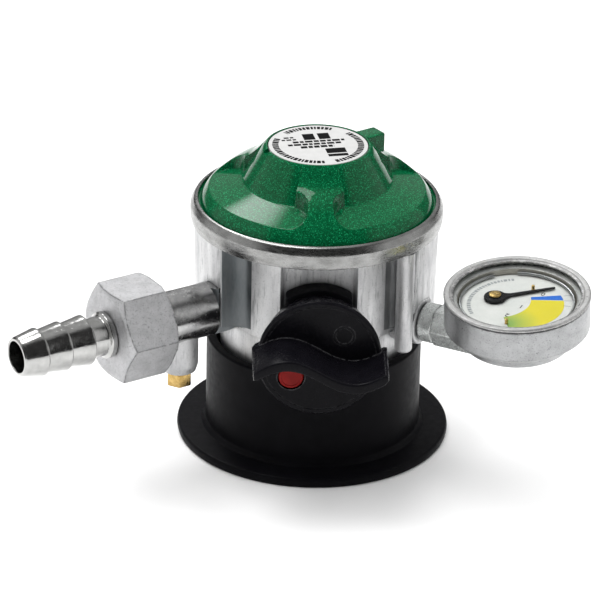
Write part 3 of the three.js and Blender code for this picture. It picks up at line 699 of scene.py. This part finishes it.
def casting_look(centre):
    """Material of a face of the casting: the recess walls carry painted shade, darker on the left one, the
    pad is painted brighter, and the spigot differs.
    """
    x, y, z = centre
    reach, side, up = FROM_OUTLET @ centre
    # painted shade on the recess walls: the left wall darker than the right
    if 17 < abs(x) < BARREL_R and -20.3 < y < -18.4 and 38 < z < DRUM_TOP:
        return WALL_SHADE_DARK if x < 0 else WALL_SHADE_PALE
    if reach > 20 and 6.8 < math.hypot(side, up) < 7.1 and math.hypot(x, y) > 25.2:
        return PIPE
    # painted light: the pad gets a brighter copy of the casting
    return PAINTED_LIGHT_CAST if y < -22.4 and abs(x) < 9.8 and z > 38 else CAST


casting = show(body_visual(), CAST, BODY, ["body_casting"], 28)
paint_faces(casting, (WALL_SHADE_DARK, WALL_SHADE_PALE, PIPE, PAINTED_LIGHT_CAST), casting_look)


# ---------------- ring, bonnet and label
def clamp_ring():
    profile = rounded([
        (31.35, 60.95), (32.3, 60.7, 0.2), (32.75, 60.9, 0.3), (33.0, 62.6, 2), (32.95, 64.8, 1.4),
        (32.0, 66.5, 1.2), (31.1, 66.8, 0.3), (30.85, 66.5, 0.2), (31.5, 66.05, 0.2), (32.2, 65.2, 0.5),
        (32.3, 61.5, 0.2), (31.4, 61.3),
    ], closed=True)
    return lathe("ring", profile, 216)


# Radius and height of the bonnet's dome, from the rim round the label outwards
CROWN = [(13.0, 81.38), (13.6, 81.34), (14.8, 80.2), (16, 78.8), (18, 77), (20, 75.8), (22, 74.6), (24, 73.2),
         (26, 71.5), (28, 69.7), (29.4, 68), (30.2, 66.6), (30.4, 65.9)]
RIM_R = 13.8  # outside of the rim round the label


def crown(r):
    """Height of the bonnet's dome at radius r: a smooth curve through CROWN."""
    last = len(CROWN) - 1
    i = next((k for k in range(last) if r < CROWN[k + 1][0]), last - 1)
    (r0, z0), (r1, z1) = CROWN[i:i + 2]
    before, after = CROWN[max(i - 1, 0)], CROWN[min(i + 2, last)]
    slope0 = (z1 - before[1]) / (r1 - before[0])
    slope1 = (after[1] - z0) / (after[0] - r0)
    span = r1 - r0
    t = clamp((r - r0) / span)
    return (z0 * (1 + 2 * t) * (1 - t) ** 2 + z1 * t * t * (3 - 2 * t)
            + slope0 * span * t * (1 - t) ** 2 - slope1 * span * t * t * (1 - t))


def pocket_depth(r, degrees):
    """1 inside one of the three hollows, 0 outside, with a steep smooth wall between."""
    mid_r, half_angle, half_width = 23.85, 41, 4.5
    off = abs((degrees - 30) % 120 - 60)  # degrees away from the middle of the nearest hollow
    if off <= half_angle:
        distance = (r - mid_r) - half_width if r > mid_r else -half_width
    else:
        x, y, _ = polar(r, off)
        end_x, end_y, _ = polar(mid_r, half_angle)
        distance = math.hypot(x - end_x, y - end_y) - half_width
    return step(0.15, -0.35, distance)


def bonnet_height(r, degrees):
    """Height of the bonnet: its dome, or in a hollow a steep inner wall and a nearly flat bottom."""
    dome = crown(r)
    wall = 81.6 - (r - RIM_R) * 9.6 / 5.7
    bottom = 72 - (r - 19.5) * 0.285
    hollow = smooth_min(smooth_max(wall, bottom, 0.35), dome, 0.15)
    return dome + (hollow - dome) * pocket_depth(r, degrees)


def bonnet():
    steps, last = 640, 110
    radii = [RIM_R + 16.6 * math.sin(k / last * math.pi / 2) for k in range(last + 1)]
    rim = ((31.5, 64.6), (31.6, 64.7), (31.6, 65.7), (31.5, 65.8), (30.4, 65.8))
    rings = [[(0, 0, 64.6)]] + [circle(r, z, steps) for r, z in rim]
    for r in reversed(radii):
        rings.append([polar(r, 360 * k / steps, bonnet_height(r, 360 * k / steps)) for k in range(steps)])
    rings += [circle(13.6, 81.38, steps), circle(13.3, 81.34, steps), [(0, 0, 81.34)]]
    obj = from_rings("bonnet", rings)
    breather = bevel(block("t", 10, 19.6, -2.6, 2.6, 71, 81.2), 0.5, 3)
    union(obj, move(breather, turn(33, "Z")))
    hollow = lathe("t", [
        (0, 60), (28.2, 60), (28.2, 67.2), (18, 69.4), (9.5, 73), (9.5, 80.2), (13.2, 80.2),
        (13.2, 84), (0, 84)])
    notch = block("t", 12.3, 15.5, -1.2, 1.2, 80.3, 84)
    return cut(obj, hollow, move(notch, turn(196.5, "Z")))


LABEL_R, LABEL_BASE, LABEL_TOP = 12.9, 80.5, 81.32


def label():
    profile = rounded([(0, LABEL_BASE), (LABEL_R, LABEL_BASE), (LABEL_R, LABEL_TOP, 0.12), (0, LABEL_TOP)])
    return lathe("label", profile, 128)


def marks(name, rows, z0, z1, matrix):
    """One thin mesh of many small printed marks, each an outline of (x, y) points."""
    bm = bmesh.new()
    for outline in rows:
        low = [bm.verts.new(Vector((x, y, z0)) * MM) for x, y in outline]
        high = [bm.verts.new(Vector((x, y, z1)) * MM) for x, y in outline]
        bm.faces.new(low)
        bm.faces.new(high)
        for k in range(len(low)):
            n = (k + 1) % len(low)
            bm.faces.new([low[k], low[n], high[n], high[k]])
    return move(from_bmesh(name, bm), matrix)


def curved_bar(inner, outer, start, end):
    return arc(0, 0, outer, start, end, 4) + arc(0, 0, inner, end, start, 4)


def spans(start, end, lengths, gap):
    """Splits the way from start to end into stretches of these lengths, in turn, with gaps."""
    out, at = [], start
    while at < end:
        length = lengths[len(out) % len(lengths)]
        out.append((at, min(at + length, end)))
        at += length + gap
    return out


def dash_ring(inner, outer, start, end, lengths):
    """Bars along an arc, like a line of small print, with their lengths in degrees."""
    return [curved_bar(inner, outer, a, b) for a, b in spans(start, end, lengths, 1.6)]


def dash_row(x0, x1, y, height, lengths):
    return [[(a, y), (b, y), (b, y + height), (a, y + height)] for a, b in spans(x0, x1, lengths, 0.35)]


def label_marks():
    """The label's print as plain bars: three arcs near the rim, five rows and four blocks."""
    inner, outer = 10.3, 11.9
    rows = dash_ring(inner, outer, 150, 268, (4, 3, 5, 3.5, 2.5, 4.5))
    rows += dash_ring(inner, outer, 282, 395, (5, 3, 4, 2.5, 3.5))
    rows += dash_ring(inner, outer, 60, 128, (3, 4.5, 3.5, 4, 2.5))
    rows += dash_row(-6.2, 7.4, 1.9, 1.1, (1.5, 1.0, 2.0, 1.3))
    rows += dash_row(-7.8, 6.2, 0.2, 1.1, (1.2, 1.9, 1.4, 0.9, 1.6))
    rows += dash_row(-4.8, 4.0, -1.7, 1.3, (1.7, 1.1, 1.4))
    rows += dash_row(-8.8, -4.8, 3.8, 0.8, (0.9, 1.3))
    rows += dash_row(-8.0, -5.2, 5.2, 0.8, (1.3, 0.9))
    blocks = ((-2.9, 0.1, 3.6, 7.4), (1.1, 4.1, 3.6, 7.4), (1.2, 6.4, -7.8, -6.3), (1.2, 6.4, -5.7, -2.7))
    rows += [[(x0, y0), (x1, y0), (x1, y1), (x0, y1)] for x0, x1, y0, y1 in blocks]
    return marks("label_marks", rows, LABEL_TOP - 0.01, LABEL_TOP + 0.03, turn(10, "Z"))


show(clamp_ring(), RING, BODY, ["clamp_ring"], 40)
show(bonnet(), GREEN, BODY, ["bonnet"], 40)
show(label(), WHITE, BODY, ["bonnet_cap"])
show(label_marks(), INK, BODY)


# ---------------- collar
COLLAR_BORE = 25.75


def collar():
    """The sleeve with its flange and the balls' cone, the tongue, and the slot for the knob's shaft."""
    profile = rounded([
        (COLLAR_BORE, 0), (35.9, 0, 0.5), (36.1, 1.2), (35.9, 2.4, 0.9), (29.6, 2.5, 0.3), (28.45, 3.6, 1.2),
        (28.4, 28.05, 0.6), (26.1, 28.05, 0.5), (COLLAR_BORE, 27.4), (COLLAR_BORE, 14.5), (21.8, 14.5),
        (21.8, 10.3), (23.47, 4.6), (COLLAR_BORE, 4.6),
    ], closed=True)
    obj = lathe("collar", profile, 192)
    arch = [(x, z + KNOB_Z) for x, z in arc(0, 0, 15.0, 55.5, 124.5, 24)]
    tongue = prism("t", [(8.5, 21)] + arch + [(-8.5, 21)], 23.2, 28.5)
    bevel(tongue, 0.45, 3, 50)
    move(tongue, LIE_ALONG_Y)
    bore = rod(COLLAR_BORE, 12, 29, 192)
    cut(tongue, bore)
    union(obj, tongue)
    slot = arc(0, KNOB_Z, 3.6, 0, 180, 20) + arc(0, KNOB_Z - 4, 3.6, 180, 360, 20)
    return cut(obj, move(prism("t", slot, 20, 32), LIE_ALONG_Y))


show(collar(), BLACK_SATIN, "collar", ["locking_collar"], 28)


# ---------------- knob
DOT_PLACE, BADGE_PLACE = (-7.2, -5.4), (6.2, 6.4)


def grip_outline(half_span, thickness, inset):
    """S-wave outline of the grip, from its lower edge round to its upper one."""
    def wave(x):
        return 0.7 - 3.2 * math.sin(math.pi * x / 17.1)

    steps, soft = 40, 0.6  # soft is the radius of the grip's ends
    reach = half_span - inset
    half = thickness / 2 - inset
    xs = [-reach + 2 * reach * k / steps for k in range(steps + 1)]
    lower, upper = [], []
    for x in xs:
        end = reach - abs(x)
        pinch = half if end >= soft else half - soft + math.sqrt(max(0, soft**2 - (soft - end) ** 2))
        lower.append((x, wave(x) - pinch))
        upper.append((x, wave(x) + pinch))
    return lower + upper[::-1]


def grip():
    """Loft of the grip through layers of depth, half span, thickness and inset."""
    layers = [(34.6, 17.25, 4.0, 0), (36.8, 17.2, 3.9, 0), (43, 17.15, 3.4, 0), (48.9, 17.1, 2.96, 0),
              (49.3, 17.1, 2.95, 0.12), (49.5, 17.1, 2.94, 0.32), (49.58, 17.1, 2.94, 0.6)]
    return from_rings("t", [[(x, y, depth) for x, y in grip_outline(*size)] for depth, *size in layers])


def knob():
    disc = lathe("knob_visual", rounded([
        (0, 28.9), (14.0, 28.9, 0.5), (15.55, 34.6, 0.4), (15.9, 35.6, 0.5), (15.9, 36.5, 0.4),
        (15.45, 37, 0.4), (14.6, 37, 0.2), (14.4, 36.85, 0.1), (0, 36.85)]), 160)
    union(disc, grip())
    dot_hole = rod(3.5, 33, 39, 64)
    shaft_hole = rod(3.5, 20, 33.4, 48)
    cut(disc, move(dot_hole, shift(*DOT_PLACE)), shaft_hole)
    badge = rounded([(2.1, 36.5), (2.8, 36.5), (2.8, 36.93, 0.05), (2.1, 36.93, 0.05)], closed=True)
    union(disc, move(lathe("t", badge, 64), shift(*BADGE_PLACE)))
    return move(disc, TO_KNOB)


def knob_dot():
    profile = rounded([
        (0, 35.1), (3.2, 35.1), (3.2, 36.6, 0.35), (2.6, 36.75, 0.1), (2.4, 36.6, 0.1), (0, 36.72)])
    return move(lathe("dot", profile, 72), TO_KNOB, shift(*DOT_PLACE))


show(knob(), BLACK_GLOSS, "knob", ["knob"], 35)
show(knob_dot(), RED, "knob", ["knob_dot"], 35)


# ---------------- outlet
def union_nut():
    hexagonal = prism("nut", hexagon(23.1, 30), 48.9, 62.9)
    chamfer = lathe("t", [(0, 48.9), (12, 48.9), (13.5, 49.9), (13.5, 61.7), (10.8, 62.9), (0, 62.9)], 128)
    combine(hexagonal, chamfer, "INTERSECT")
    bevel(hexagonal, 0.28, 3, 12)
    cut(hexagonal,
        rod(7.25, 48, 61.1, 96),
        rod(5.55, 60, 64, 96))
    return move(hexagonal, TO_OUTLET, LIE_ALONG_X)


def hose_nozzle():
    profile = rounded([
        (4.1, 89.2, 0.2), (4.75, 89.2, 0.25), (5.15, 88.7, 0.5), (6.25, 83.5, 0.3), (6.3, 83.0, 0.2),
        (5.6, 82.6, 0.25), (6.4, 76.9, 0.3), (6.45, 76.4, 0.2), (5.7, 76.0, 0.25), (6.55, 70.2, 0.3),
        (6.6, 69.7, 0.2), (5.2, 69.2, 0.5), (5.2, 65.1, 0.4), (6.1, 64.6, 0.3), (6.1, 63.2, 0.3), (5.3, 63.0),
        (5.2, 60.8), (6.7, 60.8), (6.7, 58.8), (3.6, 58.8), (3.6, 70, 0.5), (4.1, 71, 0.5),
    ], closed=True)
    return move(lathe("nozzle", profile, 128), TO_OUTLET, LIE_ALONG_X)


def test_plug():
    top = PORT_Z - OUTLET_Z - 0.3
    plug = bevel(prism("plug", hexagon(6, 0), top - 3.8, top), 0.25, 2, 35)
    shank = rod(1.6, top - 1, top + 5, 32)
    return move(union(plug, shank), TO_OUTLET, shift(PORT_REACH))


show(union_nut(), NUT, BODY, ["union_nut"], 10)
show(hose_nozzle(), NICKEL, BODY, ["hose_nozzle"], 35)
show(test_plug(), BRASS, BODY, ["test_plug"])


# ---------------- gauge
CASE_R = 18.69  # a hair less than in the CAD model, to stay inside its box


def gauge_case():
    shell = lathe("case", rounded([
        (0, 0.2), (11.0, 0.2, 2), (13.9, 1.0, 2), (15.4, 3.2, 1.5), (15.5, 5.3, 0.3), (18.1, 5.3, 0.3),
        (CASE_R, 6.0, 0.4), (CASE_R, 14.1, 0.2), (17.4, 14.1), (17.4, 13.3), (15.3, 13.3, 0.2),
        (15.3, 10.9), (14.4, 10.9), (14.4, 4), (13.6, 2.6, 1), (11, 1.4), (0, 1.4)]), 160)
    socket = prism("t", hexagon(10.4, 30), 30, 50.8)
    cut(shell, move(socket, turn(-GAUGE_TILT, "X"), shift(-GAUGE_REACH), LIE_ALONG_X))
    return move(shell, TO_HEAD)


def gauge_bezel():
    profile = rounded([
        (16.4, 14.4), (18.85, 14.4, 0.15), (18.88, 14.9, 0.3), (18.55, 15.2, 0.25), (17.4, 15.15, 0.2),
        (17.0, 14.8, 0.2), (16.4, 14.75, 0.15)], closed=True)
    return move(lathe("bezel", profile, 160), TO_HEAD)


def gauge_stem():
    bar = lathe("stem", rounded([
        (0, 23), (4, 23), (4, 32.2), (5.2, 32.2, 0.5), (5.2, 35.9, 0.5), (4.7, 36.1), (0, 36.1)]), 72)
    hexagonal = bevel(prism("t", hexagon(9.8, 30), 36, 50.5), 0.35, 3, 35)
    union(bar, hexagonal)
    move(bar, LIE_ALONG_X)
    bore = rod(1.3, 20, 48, 24)
    rise = rod(1.3, 0, 9, 24)
    cut(bar, move(bore, LIE_ALONG_X), move(rise, shift(47)))
    return move(bar, TO_GAUGE)


def sector_outline(reach_in, reach_out, start, end):
    """Part of the dial between an arc round the needle's axis and one round the dial's centre."""
    steps = 24
    inner, outer = [], []
    for k in range(steps + 1):
        angle = start + (end - start) * k / steps
        ux, uy, _ = polar(1, angle)
        inner.append((POINTER_PIVOT + reach_in * ux, reach_in * uy))
        b = POINTER_PIVOT * ux
        far = -b + math.sqrt(b * b - POINTER_PIVOT**2 + reach_out**2)
        outer.append((POINTER_PIVOT + far * ux, far * uy))
    return inner + outer[::-1]


def dial_print():
    """The dial's sector, band, ticks and a line of small print as plain bars."""
    def add(name, rows, material):
        show(marks(name, rows, DIAL_TOP - 0.01, DIAL_TOP + 0.03, TO_HEAD), material, BODY)

    add("dial_sector", [sector_outline(9.2, 12.0, -52, 22)], SECTOR)
    add("dial_band", [sector_outline(9.2, 12.0, 22.8, 31)], BLUE)
    near, far, half = 17.6, 19.6, 0.09
    corners = ((near, half), (near, -half), (far, -half), (far, half))
    ticks = []
    for angle in (30, 22, 14):
        ux, uy, _ = polar(1, angle)
        ticks.append([(POINTER_PIVOT + r * ux - side * uy, r * uy + side * ux) for r, side in corners])
    add("dial_ticks", ticks, GREY_INK)
    add("dial_print", dash_ring(11.9, 12.9, 118, 228, (3.2, 2.2, 4, 1.8, 2.8)), GREY_INK)


def dial_numbers():
    """The numbers 0, 1 and 2, which any gauge carries, as flat print."""
    for text, reach, angle in (("0", 12.6, 36.5), ("1", 7.6, -4), ("2", 8.4, -44)):
        curve = bpy.data.curves.new(f"number_{text}", "FONT")
        curve.body = text
        curve.size = 2.2 * MM
        curve.align_x = curve.align_y = "CENTER"
        curve.extrude = 0.015 * MM
        source = bpy.data.objects.new("t", curve)
        bpy.context.scene.collection.objects.link(source)
        graph = bpy.context.evaluated_depsgraph_get()
        mesh = bpy.data.meshes.new_from_object(source.evaluated_get(graph))
        bpy.data.objects.remove(source)
        obj = bpy.data.objects.new(f"dial_number_{text}", mesh)
        bpy.context.scene.collection.objects.link(obj)
        x, y, _ = polar(reach, angle)
        move(obj, TO_HEAD, shift(POINTER_PIVOT + x, y, DIAL_TOP + 0.02), turn(180, "Z"))
        show(obj, INK, BODY)


def pointer():
    profile = rounded([(1.0, 11.95), (2.9, 11.95), (2.9, 12.6, 0.25), (1.0, 12.7)], closed=True)
    hub = lathe("pointer", profile, 72)
    outline = [(-1.2, -1.9), (2.0, -1.6), (4.2, -0.62), (16, -0.34), (16.2, 0), (16, 0.34), (4.2, 0.62),
               (2.0, 1.6), (-1.2, 1.9)]
    needle = prism("t", outline, 11.97, 12.3)
    hole = rod(1.0, 11, 14, 32)
    union(hub, needle)
    cut(hub, hole)
    return move(hub, TO_HEAD, shift(POINTER_PIVOT), turn(POINTER_ANGLE, "Z"))


def pointer_spindle():
    shaft = lathe("spindle", rounded([
        (0, 4.6), (0.7, 4.6), (0.7, 12.95), (1.6, 12.95, 0.1), (1.55, 13.3, 0.2), (0.6, 13.36, 0.1),
        (0, 13.3)]), 48)
    union(shaft, block("t", 0, 3.4, -0.5, 0.5, 4.62, 5.3))
    return move(shaft, TO_HEAD, shift(POINTER_PIVOT), turn(POINTER_ANGLE, "Z"))


def snap_ring():
    """Wire ring with a gap, round the dial."""
    ring_r, wire_r, height = 14.6, 0.36, 12.25
    steps, start, sweep = 120, 138, 336
    rings = []
    for k in range(steps + 1):
        ring = []
        for j in range(12):
            dr, dz, _ = polar(wire_r, 30 * j)
            ring.append(polar(ring_r + dr, start + sweep * k / steps, height + dz))
        rings.append(ring)
    return move(from_rings("wire_ring", rings), TO_HEAD)


def housing_look(centre):
    """Material of a face of the gauge's case: its inside and its rim differ."""
    x, y, z = FROM_HEAD @ centre
    if math.hypot(x, y) >= 17.5 or z <= 4:
        return GAUGE_METAL
    return GAUGE_INSIDE if z < 13.2 else GAUGE_RIM


housing = show(gauge_case(), GAUGE_METAL, BODY, ["gauge_case"], 30)
paint_faces(housing, (GAUGE_INSIDE, GAUGE_RIM), housing_look)
show(gauge_bezel(), GAUGE_RIM, BODY, ["gauge_bezel"], 40)
show(gauge_stem(), STEM_METAL, BODY, ["gauge_stem"], 10)
show(move(lathe("lens", rounded([(0, 13.6), (17.1, 13.6), (17.1, 14.1, 0.1), (0, 14.1)]), 128), TO_HEAD),
     GLASS, BODY, ["gauge_lens"])
show(move(lathe("dial", [(0, 11.2), (15, 11.2), (15, DIAL_TOP), (0, DIAL_TOP)], 128), TO_HEAD),
     DIAL_WHITE, BODY, ["gauge_dial"])
dial_print()
dial_numbers()
show(pointer(), POINTER_BLACK, "gauge_needle", ["gauge_pointer"])
show(pointer_spindle(), BRASS, "gauge_needle", ["pointer_spindle"])
show(snap_ring(), STEEL, BODY, ["gauge_snap_ring"])

for pin_name, (pin_x, pin_y) in zip(("zero_stop_pin", "end_stop_pin"), stop_pins()):
    profile = rounded([(0, 11.5), (0.45, 11.5), (0.45, 13.0, 0.12), (0, 13.0)])
    pin = lathe(pin_name.replace("_stop", ""), profile, 32)
    show(move(pin, TO_HEAD, shift(pin_x, pin_y)), BRASS, BODY, [pin_name])


# ---------------- inner pieces keep their CAD shape
INNER = {
    "adjusting_nut": BRASS, "main_spring": STEEL, "spring_plate": STEEL, "diaphragm": RUBBER,
    "diaphragm_stem": GAUGE_METAL, "inlet_orifice": BRASS, "valve_lever": STEEL, "valve_seat_pad": RUBBER,
    "lever_pin": STEEL, "plunger": BRASS, "probe_seal": RUBBER, "plunger_spring": STEEL,
    "plunger_guide": BRASS, "socket_seal": RUBBER, "retaining_ring": STEEL, "collar_spring": STEEL,
    "knob_spindle": GAUGE_METAL, "spindle_gland": BRASS, "nozzle_washer": RUBBER, "bourdon_tube": BRASS,
    "spindle_bracket": BRASS, "locking_ball_1": STEEL, "locking_ball_2": STEEL, "locking_ball_3": STEEL,
    "locking_ball_4": STEEL,
}
for node_name, inner_material in INNER.items():
    for material_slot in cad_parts[node_name].material_slots:
        material_slot.link = "OBJECT"
        material_slot.material = inner_material


# ---------------- floor, light and camera
def floor():
    """Wide white disc, a hair below the collar's flange."""
    obj = lathe("floor", [(0, -2), (4000, -2), (4000, 0), (0, 0)], 64)
    obj.data.transform(Matrix.Translation((0, 0, -0.05 * MM)))
    look = Look("floor", (0.88, 0.88, 0.88), 0.55)
    look.colours(look.noise(0.01, 2), [(0.3, (0.87, 0.87, 0.87)), (0.7, (0.89, 0.89, 0.89))])
    obj.data.materials.append(look.material)


def lamp(name, location, side, energy):
    """Square soft lamp aimed at the regulator; its place and side in metres, its energy in watts."""
    data = bpy.data.lights.new(name, "AREA")
    data.shape = "SQUARE"
    data.size = side
    data.energy = energy
    obj = bpy.data.objects.new(name, data)
    obj.location = location
    aim = Vector((0, 0, 0.04)) - Vector(location)
    obj.rotation_euler = aim.to_track_quat("-Z", "Y").to_euler()
    bpy.context.scene.collection.objects.link(obj)
    return obj


def sky():
    """Dark studio room, seen mostly as reflections in the metal, with soft bright panels."""
    world = bpy.data.worlds.new("studio")
    bpy.context.scene.world = world
    world.use_nodes = True
    tree = world.node_tree
    way = tree.nodes.new("ShaderNodeTexCoord").outputs["Generated"]
    total = None
    panels = [
        # direction, cosine at the rim, cosine where full, level
        ((0.0, 0.62, 0.78), 0.60, 0.86, 0.45),  # wide, high at the back
        ((-0.22, 0.66, 0.71), 0.984, 0.999, 9.0),  # small and strong, inside it
        ((-1.0, 0.0, 0.35), 0.76, 0.90, 0.7),  # low on either side
        ((1.0, 0.0, 0.35), 0.76, 0.90, 0.7),
        ((0.0, -1.0, 0.0), 0.84, 0.97, 0.15),  # dim, at the front
        ((0.0, 0.0, 1.0), -1.0, 1.0, 0.05),  # faint, all round, most from above
    ]
    for direction, rim, full, level in panels:
        dot = tree.nodes.new("ShaderNodeVectorMath")
        dot.operation = "DOT_PRODUCT"
        dot.inputs[1].default_value = Vector(direction).normalized()
        tree.links.new(way, dot.inputs[0])
        spread = tree.nodes.new("ShaderNodeMapRange")
        spread.interpolation_type = "SMOOTHSTEP"
        spread.inputs["From Min"].default_value = rim
        spread.inputs["From Max"].default_value = full
        spread.inputs["To Max"].default_value = level
        tree.links.new(dot.outputs["Value"], spread.inputs["Value"])
        if total is None:
            total = spread.outputs["Result"]
        else:
            add = tree.nodes.new("ShaderNodeMath")
            add.operation = "ADD"
            tree.links.new(total, add.inputs[0])
            tree.links.new(spread.outputs["Result"], add.inputs[1])
            total = add.outputs["Value"]
    tree.nodes["Background"].inputs["Color"].default_value = (1, 1, 1, 1)
    tree.links.new(total, tree.nodes["Background"].inputs["Strength"])


def camera():
    """The photograph's camera, a long lens from a little above. Distances are in metres."""
    azimuth, elevation, roll = (math.radians(a) for a in (-2.2, 25.695, 1.205))
    distance, height, aside = 0.974, 0.03673, 0.003877
    right = Vector((math.cos(azimuth), math.sin(azimuth), 0))
    level = math.cos(elevation)
    forward = Vector((-math.sin(azimuth) * level, math.cos(azimuth) * level, -math.sin(elevation)))
    up = right.cross(forward)
    target = Vector((0, 0, height)) - right * aside
    data = bpy.data.cameras.new("camera")
    data.lens = 221.67
    data.sensor_width = 36
    data.clip_start, data.clip_end = 0.05, 50
    obj = bpy.data.objects.new("camera", data)
    across = right * math.cos(roll) + up * math.sin(roll)
    above = -right * math.sin(roll) + up * math.cos(roll)
    basis = Matrix((across, above, -forward)).transposed().to_4x4()
    basis.translation = target - forward * distance
    obj.matrix_world = basis
    bpy.context.scene.collection.objects.link(obj)
    bpy.context.scene.camera = obj


floor()
sky()
lamp("fill", (0, 0.1, 1.3), 2.6, 42).visible_glossy = False
lamp("key", (-0.35, 0.25, 1.5), 0.6, 8)
camera()
bpy.context.scene.view_settings.view_transform = "Standard"
